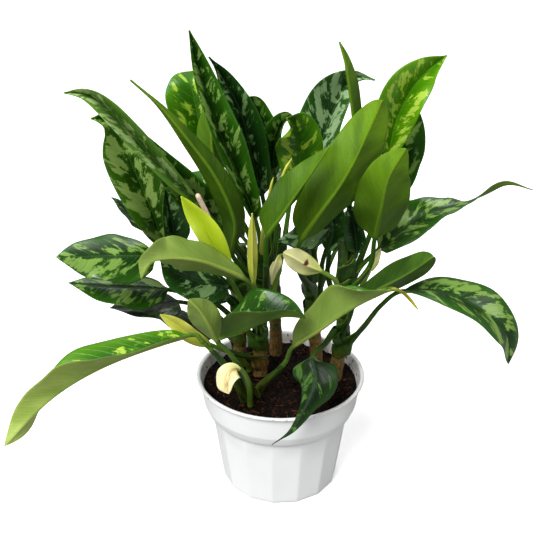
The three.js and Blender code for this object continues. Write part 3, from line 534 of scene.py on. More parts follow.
LEAF_TABLE = """
spear | center 230 0 | -19 -11 255, -23 -14 285 | -42 -22 342, -56 -30 382, -67 -36 424, -75 -44 464
    | 50 .62 .95 | .3 -.9 0, .4 -.9 0, .3 -.9 -.1 | 64 60 52 | mature .25
spear_back | center 224 200 | -32 20 262, -52 14 301 | -61 10 337, -62 8 365, -56 12 389, -48 18 407 | 34
    | -.2 1 -.1, 0 1 -.1 | 43 46 | bright_back .1
blunt_top | left 222 170 | -51 40 261, -66 38 315 | -73 34 352, -78 30 382, -81 31 400, -84 42 408
    | 50 .78 .6 | -.1 -1 .3, -.1 -1 .3, -.1 -.9 .6, 0 -.4 .9 | 22 14 8 8 | grown .3
s_curve | center 212 -20 | -34 -26 243, -44 -42 267
    | -41 -56 303, -55 -64 345, -77 -67 380, -99 -67 409, -121 -69 431 | 36 .5 1.7
    | -.1 1 .2, -.2 1 0, -.2 1 -.1 | 56 51 55 | deep_back .1
dark_wide | center 234 105 | -12 8 264, -17 4 301 | -27 0 344, -36 -8 386, -51 -14 419, -61 -22 437
    | 44 .78 1.35 | .2 -1 -.1, .2 -1 -.1, .5 -.8 -.1 | 47 49 58 | dark .15
small_hook | back 222 -20 | -8 34 267, -10 34 317 | -12 36 350, -19 34 368, -26 30 383, -36 24 388 | 28
    | 0 -1 .1, .5 -.8 .3 | 50 58 | mature .2
dark_arch | center 206 130 | -4 20 262, -6 20 314 | -7 14 342, -2 5 366, 6 -2 378, 13 -8 376 | 30
    | 0 -1 -.1, -.5 -.8 .5 | 50 60 | mature .1
blotched_bend | mid_right 220 -30 | 18 13 260, 20 8 291 | 17 4 328, 14 -4 358, 10 -12 376, 4 -20 384
    | 44 .78 .75 | 0 -1 -.1, .1 -.9 -.2, .4 -.8 .2 | 26 18 35 | grown .35
glossy_back | mid_right 208 100 | 28 50 260, 30 50 304
    | 36 50 332, 46 47 365, 57 41 394, 68 36 404, 83 31 403 | 62 .78 1.55
    | -.4 -.9 .1, -.6 -.8 -.1, -.3 -.8 .4 | 43 43 58 | silver_dark .6
thin_tall | right 220 -170 | 62 26 264, 67 16 322 | 64 4 365, 59 -4 397, 54 -10 425, 47 -14 448 | 30
    | .3 .9 .1, .2 1 .2 | 70 72 | bright_back .1
big_underside | mid_right 195 -5 | 14 -28 250, 16 -44 279
    | 30 -56 309, 46 -61 336, 59 -61 361, 69 -58 384, 80 -54 410 | 58 .38 .5 | .2 .9 .4, .1 1 .1, .1 1 -.2
    | 41 38 39 | bright_back .1
folded_underside | center 200 40 | -14 -50 262, -13 -67 294
    | -1 -76 318, 12 -78 340, 25 -74 358, 37 -66 374 | 46 .45 .8 | -.1 .9 .5, 0 1 .3, -.1 1 0 | 55 61 69
    | deep_back .1
right_underside | right 204 20 | 81 -20 244, 82 -36 278 | 83 -63 318, 86 -77 352, 98 -80 378 | 51 .34 .72
    | .1 .9 .4, .2 1 0 | 25 31 | bright_back .1
right_top | right 236 115 | 79 16 284, 95 15 333 | 101 10 371, 111 2 401, 125 -4 422, 137 -13 436 | 50
    | -.3 -1 0, -.6 -.8 0 | 41 38 | young .25
round_behind | right 208 130 | 91 42 258, 114 45 288 | 114 47 326, 113 42 360, 109 34 396 | 50 .78 .75
    | -.2 -1 .1, -.1 -1 -.2 | 37 37 | mature .1
far_right | right 214 75 | 76 5 232, 90 4 248
    | 110 2 270, 131 2 285, 153 1 293, 173 0 301, 200 -1 317, 228 -5 312 | 48 .52 1.6
    | -.7 -.5 .6, -.7 -.5 .6, -.6 -.3 .7, -.5 0 .8, -.5 .4 .8, -.3 .9 .6, .2 .6 .8 | 21 8 -4 0 | level .3
bent_end | right 165 5 | 64 -26 195, 69 -40 219 | 90 -56 241, 110 -70 262, 127 -82 283 | 36 .6 .6
    | .5 .8 .2, .5 .8 .1 | 49 49 | bent_back 0
front_olive | | -22 -20 88, -20 -22 112, 3 -44 154, 10 -58 180
    | 32 -76 208, 54 -86 232, 76 -90 248, 97 -90 255, 116 -92 238 | 50 .7 1.05
    | 0 .5 .9, 0 .5 .9, 0 .4 .9, 0 .5 .9, 0 .3 .9, 0 0 1 | 74 72 64 20 5 10 | olive_back .2
right_drooping | right 146 45 | 79 -20 182, 91 -34 210, 108 -42 229
    | 140 -56 236, 173 -62 223, 201 -64 199, 206 -66 167 | 49 1 .95 | -.4 0 .9, .5 -.4 .8, .7 -.7 .2
    | 10 12 7 | level .4
hanging_front | right 160 -40 | 40 -44 175, 28 -66 175 | 30 -82 160, 23 -94 145, 9 -105 123, -9 -110 110
    | 50 .42 2.3 | -.1 -.6 .8, -.3 -.7 .6, -.3 -.6 .8 | -34 -42 -22 | shaded .1
front_center | center 128 -30 | -50 -44 168, -57 -58 189 | -39 -76 206, -19 -87 222, 1 -90 230, 20 -89 228
    | 58 .95 1.05 | 0 -.1 1, 0 -.1 1 | 56 50 | level .05
front_left_underside | | -23 -27 88, -24 -30 108, -29 -45 128, -39 -64 164, -49 -78 189, -57 -88 204
    | -62 -103 227, -69 -109 245, -78 -112 258 | 32 .7 .95 | -.2 .9 .3, -.4 .9 0 | 36 41 | olive_back 0
long_left | | -34 -33 88, -35 -36 110, -52 -56 160, -70 -68 191, -81 -72 201
    | -123 -94 198, -156 -112 192, -185 -128 181, -208 -140 165, -235 -150 138 | 56 .9 .95
    | 0 0 1, 0 .1 1, 0 .3 .9, 0 .5 .9, 0 .8 .6, 0 1 -.1 | 35 30 35 44 34 12 | pale_back .2
left_wide | left 182 -60 | -74 -22 238, -110 -45 264 | -136 -59 273, -165 -69 277, -191 -81 282
    | 53 .58 .9 | .6 -.3 .8, .4 -.4 .8 | -10 -10 | level .42
left_low | left 162 -25 | -68 -2 199, -104 -16 217 | -134 -34 229, -163 -48 238, -188 -58 246 | 46 .6 1.05
    | .5 -.2 .9, .3 -.2 .9 | -12 -12 | level .35
left_dark | left 146 -95 | -66 6 182, -96 -6 199 | -125 -22 204, -157 -36 209 | 58 .6 1.05 | .2 .1 1 | -3
    | darkest .1
left_shadow | left 122 -150 | -54 34 150, -66 20 159 | -92 4 170, -121 -4 183 | 46 .6 1.05 | .6 .1 .8 | -3
    | darkest 0
left_large | left 204 -85 | -71 5 234, -104 -8 259
    | -116 -26 304, -128 -36 346, -138 -40 376, -146 -45 390, -158 -49 393 | 55 .78 1.15
    | .5 -.9 -.2, .3 -.9 0, .3 -.9 .3 | 35 36 55 | fresh .45
left_curled | left 188 -130 | -77 24 227, -122 10 264 | -139 6 284, -154 1 303 | 24 | .7 -.1 .7 | 0
    | dark .1
arch_left | center 226 -60 | -46 -30 276, -70 -48 314
    | -96 -66 352, -122 -78 390, -141 -83 414, -155 -85 424, -170 -88 426 | 38
    | .5 -.9 -.1, .3 -.9 .1, .2 -.9 .3 | 65 65 65 | silver .35
arch_behind | center 206 -105 | -38 4 240, -50 -6 264
    | -67 -26 304, -86 -41 332, -104 -52 360, -122 -58 390 | 42 | .5 -.9 -.2, .3 -.9 .1 | 43 49
    | mature .4
front_flat | center 160 -5 | -22 -48 221, -31 -72 255
    | -56 -90 278, -73 -101 289, -92 -108 294, -107 -112 292, -116 -115 279 | 42
    | 0 .9 -.3, 0 .9 -.3, 0 .9 -.3, 0 1 0, 0 .7 .7, .3 .4 .9 | 45 48 50 50 36 25 | olive_back .1
small_upright | left 216 -40 | -62 -4 240, -92 -22 261 | -97 -31 292, -101 -38 327 | 30 | .5 -.9 -.2 | 37
    | dark .25
glossy_arch | center 182 -25 | -36 -10 212, -49 -30 228 | -70 -46 240, -92 -55 254, -107 -60 277 | 46
    | .7 -.2 .7, .8 -.5 .4 | 0 0 | dark .25
inner_variegated | center 150 -60 | -39 -4 191, -48 -14 209 | -62 -24 224, -75 -30 243 | 28 | .8 -.3 .5
    | 0 | dark .5
inner_glossy | mid_right 170 55 | 38 -4 236, 45 -20 279 | 32 -24 282, 14 -28 275, -5 -33 275 | 30
    | .8 -.5 0, .2 -.2 .9 | 0 -4 | dark .4
inner_dark | right 232 60 | 70 -2 248 | 69 -3 262, 65 -6 282, 60 -10 304 | 24 | -.1 -1 -.1 | 37 | dark 0
right_inner | right 192 -110 | 45 14 218, 46 18 240 | 50 18 266, 55 12 300 | 26 | -.1 -1 .1 | 37 | dark .1
back_center | back 226 170 | -6 86 272 | -12 116 296, -20 148 292, -26 174 264 | 46 | 0 -.3 .9, 0 .6 .8
    | 25 20 | mature .3
back_left | back 206 -120 | -46 74 256 | -78 96 270, -110 114 272, -140 126 250 | 48 | .2 -.1 1, -.5 .4 .8
    | 25 20 | mature .3
back_right | mid_right 196 180 | 44 72 258 | 66 98 288, 90 122 290, 112 142 264 | 46 | 0 -.1 1, .5 .5 .7
    | 25 20 | young .2
back_low_left | back 182 -150 | -36 86 222 | -66 110 238, -96 130 230, -122 144 204 | 42
    | 0 0 1, -.5 .5 .7 | 25 20 | dark .3
back_low_right | mid_right 176 140 | 60 76 222 | 86 98 240, 114 116 232, 138 128 208 | 42
    | 0 0 1, .5 .5 .7 | 25 20 | mature .3
back_upright | back 230 70 | 12 78 280 | 20 86 304, 26 96 322, 32 112 330 | 34 | 0 -.9 .4, 0 -.6 .8
    | 25 20 | young .25
"""


def numbers(cell):
    """A table cell's numbers, as one list for each group between commas."""
    return [[float(number) for number in group.split()] for group in cell.split(",")]


def read_table(text, kind):
    """Leaves or spathes, one a row. An indented line carries on the row above it.

    Columns: name | cane, height and side of the foot, for one on a cane | petiole's points | blade's points |
    width, with rise and fall if not the usual | ways that the upper side faces | fold | skin, blotches."""
    table = {}
    for line in text.strip().replace("\n   ", "").splitlines():
        name, foot, petiole, blade, size, face, fold, look = (cell.strip() for cell in line.split("|"))
        width, rise, fall = [*numbers(size)[0], RISE, FALL][:3]
        skin, blotches = look.split() or ("", 0)
        table[kind + name] = dict(
            petiole=numbers(petiole), blade=numbers(blade), width=width, rise=rise, fall=fall,
            face=numbers(face), fold=numbers(fold)[0], skin=skin, blotches=float(blotches))
        if foot:
            cane, height, side = foot.split()
            table[kind + name]["foot"] = ("cane_" + cane, float(height), float(side))
    return table


LEAVES = read_table(LEAF_TABLE, "leaf_")
LEAVES["leaf_front_olive"]["ripe"] = 1  # the one leaf whose tip turns yellow
print("rows:", len(LEAVES))

# %% Leaf sizes and midlines
PETIOLE_FOOT = 3.0
PETIOLE_TOP = 2.0
CLASP_RISE = 9
CLASP_GAP = 0.5
CLASP_LEAN = 0.15


def beside(cane, height, side):
    """Centre of a petiole's foot that touches a cane at a height, turned by an angle from the front."""
    share = np.linspace(0, 1, 2001)
    centres, _ = curve_through(cane["route"], share)
    k = np.argmin(np.abs(centres[:, 2] - height))
    reach = cane["foot"] + (cane["top"] - cane["foot"]) * share[k] + PETIOLE_FOOT + CLASP_GAP
    turn = np.radians(side)
    return np.array([centres[k, 0] + reach * np.sin(turn), centres[k, 1] - reach * np.cos(turn), height])


def spine_of(leaf):
    """All points of a leaf's midline, from the foot to the tip, and which one is the blade's base."""
    clasp = []
    if "foot" in leaf:
        cane, height, side = leaf["foot"]
        foot = beside(CANES[cane], height, side)
        lean = foot + CLASP_LEAN * (np.array(leaf["petiole"][0]) - foot)
        clasp = [foot, [lean[0], lean[1], height + CLASP_RISE]]
    return [*clasp, *leaf["petiole"], *leaf["blade"]], len(clasp) + len(leaf["petiole"]) - 1


def petiole_radius(share):
    """A petiole thins evenly from its foot to the blade."""
    return PETIOLE_FOOT + (PETIOLE_TOP - PETIOLE_FOOT) * share


# %% [markdown]
# ### One blade's upper side
# Seen from above, half the width follows u^rise * (1 - u)^fall. Across, each half climbs away from the
# midrib by the fold, arches a little, and its edge waves. The lower side is the upper one pushed back
# along its own normals, so the sheet keeps its thickness however hard it twists.


# %% Blade surface
WAVE_HEIGHT = 1.6
WAVES = 2.5
WAVE_SHIFT = 0.9
TYPICAL_WIDTH = 44
TIP_WIDTH = 0.3
GROOVE = (0.5, 1.1)
MIDRIB = (1.5, 1.3)
USUAL_ARCH = 0.05
USUAL_SOFTNESS = 0.09
SEEDED_WAVES = 0.35


def edge_waves(u, side, rng):
    """Two sines along each half's edge: an even one, and a weaker one of seeded pace and phase."""
    phase, pace = rng.uniform(0, 6.28, 2), rng.uniform(4, 7, 2)
    left, right = (np.sin(pace[k] * 6.28 * u / 2 + phase[k]) for k in (1, 0))
    return np.sin(2 * np.pi * WAVES * u + WAVE_SHIFT * side) + SEEDED_WAVES * np.where(side > 0, right, left)


def upper_side(leaf, u, v, centres, tangents, rng):
    """The upper side at shares u along and v = -1..1 across, the distances across, and its two directions.

    point = centre + across * v * half * cos(fold) + up * (rounded |v| * half * sin(fold) + wave * v^2)
    + (normal of that half) * (arch * half * 4|v|(1 - |v|) - groove)."""
    rise, fall, size = leaf["rise"], leaf["fall"], leaf["width"] / TYPICAL_WIDTH
    widest = rise / (rise + fall)
    shape = ((u / widest) ** rise * ((1 - u) / (1 - widest)) ** fall)[:, None]
    u = u[:, None]
    half = np.sqrt((leaf["width"] / 2 * shape) ** 2 + PETIOLE_TOP**2 * (1 - u) + TIP_WIDTH**2)
    fold = np.radians(eased(leaf["fold"], u[:, 0]))[:, None]
    up = square_to(eased(leaf["face"], u[:, 0]), tangents)
    across = np.cross(tangents, up)
    wave = WAVE_HEIGHT * size * edge_waves(u, np.sign(v)[None], rng) * shape * v**2
    soft = leaf.get("soft", USUAL_SOFTNESS)
    away = (np.sqrt(v**2 + soft**2) - soft) / (np.sqrt(1 + soft**2) - soft)
    lean = v / np.sqrt(v**2 + soft**2)
    x = v[None] * half
    groove = GROOVE[0] * (1 - u) * np.exp(-((x / GROOVE[1]) ** 2))
    arch = leaf.get("arch", USUAL_ARCH) * half * 4 * np.abs(v) * (1 - np.abs(v)) - groove
    flat = x * np.cos(fold) - lean * np.sin(fold) * arch
    tall = away * half * np.sin(fold) + wave + np.cos(fold) * arch
    return centres[:, None] + across[:, None] * flat[..., None] + up[:, None] * tall[..., None], x, up, across


# %% [markdown]
# ### Petiole, blade and their marks
# The petiole's rings are round with a shallow channel, the blade's are flat, and just above the blade's
# base one eases into the other. Two pieces pushed into each other would do, but would show a seam. Each
# point also gets what the material wants to know: how far along and across it is, which side it is on,
# and its place along the side veins.

# %% Whole leaf
HALF_POINTS = 14
BLADE_STATIONS = 76
BLADE_THICKNESS = 0.7
PETIOLE_STEPS = 9
OPENED_AT = 0.06
CHANNEL = (0.22, 0.5)
VEIN_SLANT = 0.8
VEIN_BEND = 0.012


def mirrored(grid):
    """A value of one face of a sheet, run back over the other face."""
    return np.concatenate([grid, grid[:, ::-1]], axis=1)


def leaf_rings(leaf, seed):
    """Rings round a whole leaf, its UV map and its marks.

    Along a side vein `vein` stays the same: distance along the midrib less a share of that across, bent."""
    rng = np.random.default_rng(seed)
    points, base = spine_of(leaf)
    start = base / (len(points) - 1)
    even = np.linspace(0, 1, BLADE_STATIONS)
    u = 0.55 * even + 0.45 * (0.5 - 0.5 * np.cos(np.pi * even))
    s = np.linspace(-1, 1, 2 * HALF_POINTS + 1)
    v = np.sign(s) * np.abs(s) ** 1.2
    centres, tangents = curve_through(points, start + u * (1 - start))
    top, x, up, across = upper_side(leaf, u, v, centres, tangents, rng)
    normal = unit(np.cross(np.gradient(top, axis=1), np.gradient(top, axis=0)))
    size = leaf["width"] / TYPICAL_WIDTH
    rib = (MIDRIB[0] * size * (1 - u) ** 1.6 + 0.25)[:, None] * np.exp(-((x / (MIDRIB[1] * size)) ** 2))
    thin = BLADE_THICKNESS * (1 - 0.5 * np.abs(v[None]) ** 8)
    blade = np.concatenate([top, (top - normal * (thin + rib)[..., None])[:, ::-1]], axis=1)
    angle = np.radians(90 - 88 * v)
    angle = np.concatenate([angle, -angle[::-1]])
    open_up = smooth(0, OPENED_AT, u)[:, None, None]
    blade = fanned(centres, PETIOLE_TOP, across, up, angle) * (1 - open_up) + blade * open_up

    share = np.linspace(0, start, PETIOLE_STEPS * base + 1)[:-1]
    mid, along = curve_through(points, share)
    lift = carried(up[0], along[::-1])[::-1]
    channel = 1 - CHANNEL[0] * np.exp(-(((angle - np.pi / 2) / CHANNEL[1]) ** 2))
    radius = petiole_radius(share / start)[:, None] * channel
    petiole = fanned(mid, radius, np.cross(along, lift), lift, angle)

    length = np.concatenate([[0], np.cumsum(np.linalg.norm(np.diff(centres, axis=0), axis=1))])
    below = -np.linalg.norm(np.diff(np.vstack([mid, centres[:1]]), axis=0), axis=1)[::-1].cumsum()[::-1, None]
    vein = length[:, None] - VEIN_SLANT * np.abs(x) - VEIN_BEND * np.abs(x) ** 2
    upper = np.concatenate([np.ones(len(v)), np.zeros(len(v))])
    u = u[:, None]

    def whole(on_petiole, on_blade):
        """A value over the petiole's rings, and then one over the blade's."""
        grids = zip((on_petiole, on_blade), (petiole, blade))
        return np.concatenate([np.broadcast_to(value, rings.shape[:2]) for value, rings in grids])

    uv_along = whole(below, mirrored(vein)) / 10 + rng.uniform(0, 90)
    uv = np.stack([uv_along, whole(0.1 * np.cos(angle), mirrored(x) / 10)], axis=-1)
    return np.concatenate([petiole, blade]), uv, {
        "along": whole(below / length[-1], u),
        "edge": whole(0, mirrored(np.abs(v)[None])),
        "upper": whole(0.5, upper),
        "stalk": whole(1, 1 - smooth(0.0, 0.05, u)),
        "blotches": whole(leaf["blotches"], leaf["blotches"]),
        "ripe": whole(0, leaf.get("ripe", 0) * smooth(0.68, 0.95, u)),
    }


leaf_pieces = {}
for k, (name, leaf) in enumerate(LEAVES.items()):
    rings, uv, values = leaf_rings(leaf, 100 + k)
    piece = ring_piece(name + "_fine", rings, uv=uv, values=values)
    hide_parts(name)
    leaf_pieces[name] = piece
print("leaves:", len(leaf_pieces), "faces in all:", sum(len(p.data.polygons) for p in leaf_pieces.values()))

# %% [markdown]
# ### Sheaths
# A petiole of this plant isn't a plain rod. Its lower half is a channel whose thin wings wrap the cane,
# and the wings of each older leaf hold those of the younger one inside, so the canes look like thick
# green bundles. A tube cut open and bent by hand would do for one; here the arc round the cane eases into
# an arc round the petiole.


# %% Sheath surface
SHEATH_STATIONS = 44
SHEATH_SIDES = 27
SHEATH_SHARE = 0.66
CANE_SHARE = 0.26
DROP = 13
SHEATH_REACH = 35
CLEAR = 0.3
LAYER_STEP = 0.65
COVER = 0.8
SWELL_MOST = 14
SWELL_TURN = 0.42
CANE_WRAP = (150, 70)
PETIOLE_WRAP = (135, 60)
SHEATH_WALL = 0.9
MARGIN_THINNING = 0.6


def cane_at(cane, height):
    """Centre and radius of a cane at some heights, read off its curve."""
    share = np.linspace(0, 1, 400)
    centres, _ = curve_through(cane["route"], share)
    radius = cane["foot"] + (cane["top"] - cane["foot"]) * share
    x, y, r = (np.interp(height, centres[:, 2], values) for values in (centres[:, 0], centres[:, 1], radius))
    return np.stack([x, y, height], axis=-1), r


def sheath_rings(leaf, layer):
    """Outer side: (1 - w) * arc round the cane + w * arc round the petiole, where w eases from 0 to 1.

    The arcs narrow upwards. The arc round the cane swells in its middle to cover the petiole, and lies on the
    cane at its lower margin. The inner side is the outer one moved in along its normals."""
    points, base = spine_of(leaf)
    s, a = np.linspace(0, 1, SHEATH_STATIONS)[:, None], np.linspace(-1, 1, SHEATH_SIDES)[None]
    on_cane = CANE_SHARE if "foot" in leaf else 0.0
    share = np.clip((s[:, 0] - on_cane) / (1 - on_cane), 0, 1) * SHEATH_SHARE
    mid, tangents = curve_through(points, share * base / (len(points) - 1))
    thick = petiole_radius(share)[:, None]
    if on_cane:
        cane = CANES[leaf["foot"][0]]
        foot_spot, _ = cane_at(cane, mid[:1, 2])
        mid[:, 2] -= np.clip(on_cane - s[:, 0], 0, None) / on_cane * DROP
        spot, radius = cane_at(cane, mid[:, 2])
        below = s[:, 0] < on_cane
        mid[below, :2] = (spot + mid[:1] - foot_spot)[below, :2]
    else:
        spot, radius = mid + [[0, 8, 0]], np.full(len(mid), 4.0)
    gap = (mid - spot) * [1, 1, 0]
    away, reach = unit(gap), np.linalg.norm(gap, axis=1)[:, None]
    swing = a * np.radians(CANE_WRAP[0] - CANE_WRAP[1] * s)
    hug = smooth(0, 0.16, s)
    round_cane = radius[:, None] + CLEAR + (CLEAR + LAYER_STEP * layer) * hug
    swell = np.clip(reach + thick + COVER - round_cane, 0, SWELL_MOST) * np.exp(-((swing / SWELL_TURN) ** 2))
    wrapped = fanned(spot, round_cane + swell * hug, away, np.cross([0, 0, 1], away), swing)
    out = square_to(away, tangents)
    spread = thick + 0.15 + 1.1 * (1 - s) + 2.6 * (1 - s) * np.abs(a) ** 3
    turn = a * np.radians(PETIOLE_WRAP[0] - PETIOLE_WRAP[1] * s)
    channel = fanned(mid, spread, out, np.cross(tangents, out), turn)
    w = (smooth(on_cane, 0.8, s) if on_cane else np.ones_like(s))[..., None]
    outer = (1 - w) * wrapped + w * channel
    normal = unit(np.cross(np.gradient(outer, axis=1), np.gradient(outer, axis=0)))
    inner = outer - normal * (SHEATH_WALL - MARGIN_THINNING * np.abs(a) ** 3)[..., None]
    height, age, flat = mirrored(outer[..., 2]), 1.0 if on_cane else 0.2, np.ones_like(s)
    uv = np.stack([mirrored(flat * a * 1.2), height / 10], axis=-1)
    marks = {"edge": mirrored(flat * np.abs(a)), "wood": age * smooth(150, 108, height)}
    return np.concatenate([outer, inner[:, ::-1]], axis=1), uv, marks


sheath_pieces = []
feet = [leaf["foot"] for leaf in LEAVES.values() if "foot" in leaf]
for name, leaf in LEAVES.items():
    cane, height, _ = leaf.get("foot", ("", 0, 0))
    layer = sum(other == cane and height < h < height + SHEATH_REACH for other, h, _ in feet)
    rings, uv, values = sheath_rings(leaf, layer)
    piece = ring_piece(name.replace("leaf_", "sheath_"), rings, uv=uv, values=values)
    sheath_pieces.append(piece)
print("sheaths:", len(sheath_pieces))

# %% [markdown]
# ### Rolled young leaves
# The newest leaves still stand rolled up between the open ones, so only a thin yellow spike of each can
# be seen. A tapered stem is all that this needs: the roll's seam is thinner than a grain of soil.

# %% Spikes
SPIKES = {
    "spike_tall": [(-18, 3, 236), (-12, -20, 285), (0.6, -34, 337.6), (8.3, -30, 351.7)],
    "spike_short": [(-19, 3, 230), (-17, -26, 280), (-10.5, -39, 325), (-7.6, -40, 338.1)],
}


def spike_rings(route):
    """Round rings whose radius shrinks as (1 - share)^0.6, and the numbers that the material reads."""
    share = np.linspace(0, 1, 60)[:, None]
    centres, tangents = curve_through(route, share[:, 0])
    turn = full_turn(16)
    radii = (2.1 * (1 - share) ** 0.6 + 0.15) * (1 + 0.12 * np.cos(turn + 3 * share))
    uv = np.stack([centres[:, 2:] / 10 + 0 * turn, 0.2 * np.cos(turn) + 0 * share], axis=-1)
    return stem_rings(centres, tangents, radii), uv, {"along": share + 0 * turn}


spike_pieces = []
for name, route in SPIKES.items():
    rings, uv, values = spike_rings(route)
    piece = ring_piece(name, rings, uv=uv, values=values)
    spike_pieces.append(piece)
print("spikes:", len(spike_pieces))

# %% [markdown]
# ## The spathes
# Each flower of this plant is a slim club, the spadix, half wrapped in one pale hooded bract, the spathe.
# A spathe is made with the leaf function, because it is a leaf too, only shorter and more deeply cupped.

# %% Spathes and spadix
SPATHE_TABLE = """
lime | center 172 -90 | -42 -30 226, -48 -60 254 | -55 -66 277, -64 -69 301, -75 -71 318, -84 -74 334
    | 26 .6 .8 | .4 -.9 -.3, .2 -.9 .2 | 37 37 |
closed | center 184 10 | -25 -44 238 | -26 -48 264, -26 -50 288, -26 -50 309 | 12 .5 .9 | 0 .9 .4, 0 1 0
    | 45 40 |
pointing_down | center 190 95 | 0 -6 243, -2 -14 250 | -5 -20 248, -8 -22 238, -9 -20 225 | 13 .5 .7
    | .3 .2 -.9, .1 1 .1 | 46 46 |
spotted | right 194 -25 | 49 -34 235, 35 -46 251 | 23 -53 260, 10 -57 270, 1 -57 275 | 24 .5 .7
    | -.6 .8 -.1, 0 .9 -.4 | 37 37 |
open_low | | -29 -42 88, -29 -45 110, -30 -60 140, -33 -68 157, -38 -74 167
    | -44 -78 166, -48 -82 158, -48 -84 147 | 24 .8 .7 | -.6 -.8 -.1, -.6 -.8 0 | 15 30 40 |
behind_long_left | center 113 -75 | -46 -20 150, -66 -46 176 | -84 -56 193, -96 -60 206, -108 -62 216
    | 18 .6 .8 | .6 -.8 -.1, .4 -.9 .3 | 37 37 |
small_right | right 190 80 | 82 -6 231 | 86 -9 243, 88 -10 250, 91 -12 257 | 10 .5 .7
    | -.3 -.9 -.2, -.2 -.9 -.2 | 37 37 |
"""
SPATHES = read_table(SPATHE_TABLE, "spathe_")
SPADIX = dict(route=[(-55, -60, 286), (-63, -61, 310), (-71.5, -68, 334)], foot=2.2, top=2.2)

spathe_pieces = {}
for k, (name, spathe) in enumerate(SPATHES.items()):
    rings, uv, values = leaf_rings({**spathe, "arch": 0.16, "soft": 0.45}, 200 + k)
    piece = ring_piece(name + "_fine", rings, uv=uv, values=values)
    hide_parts(name)
    spathe_pieces[name] = piece


def spadix_rings():
    """A club: even taper, ends drawn in as a quarter circle, and rows of small beads in a spiral."""
    share = np.linspace(0, 1, 60)[:, None]
    centres, tangents = curve_through(SPADIX["route"], share[:, 0])
    turn = full_turn(36)[None]
    ends = np.sqrt(np.clip(1 - (1 - np.minimum(share, 1 - share) / 0.06).clip(0) ** 2, 0.02, 1))
    beads = 0.16 * np.sin(6 * turn + 70 * share) * np.sin(6 * turn - 70 * share)
    radii = SPADIX["foot"] + (SPADIX["top"] - SPADIX["foot"]) * share
    return stem_rings(centres, tangents, (radii + beads) * ends)


spadix = ring_piece("spadix_lime_fine", spadix_rings())
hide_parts("spadix_lime")
print("spathes:", len(spathe_pieces))

# %% [markdown]
# ## Leaf skin
# The old leaves are nearly black green, the young ones fresh green, and all carry torn pale islands that
# follow the side veins. Painting them would need an image for each leaf. Instead one rough noise, laid in
# the leaf's own coordinates and drawn out along the veins, is cut off at a level: what rises above it is
# an island. The rougher the noise, the more ragged the coast, and a second, broad noise gathers the
# islands into loose clusters.


# %% Leaf skin group
LAYERS = ["Deep", "Margin", "Patch", "Wash", "Back", "Shade", "Rib", "Stalk"]
YELLOW_TIP = rgb(206, 196, 30)


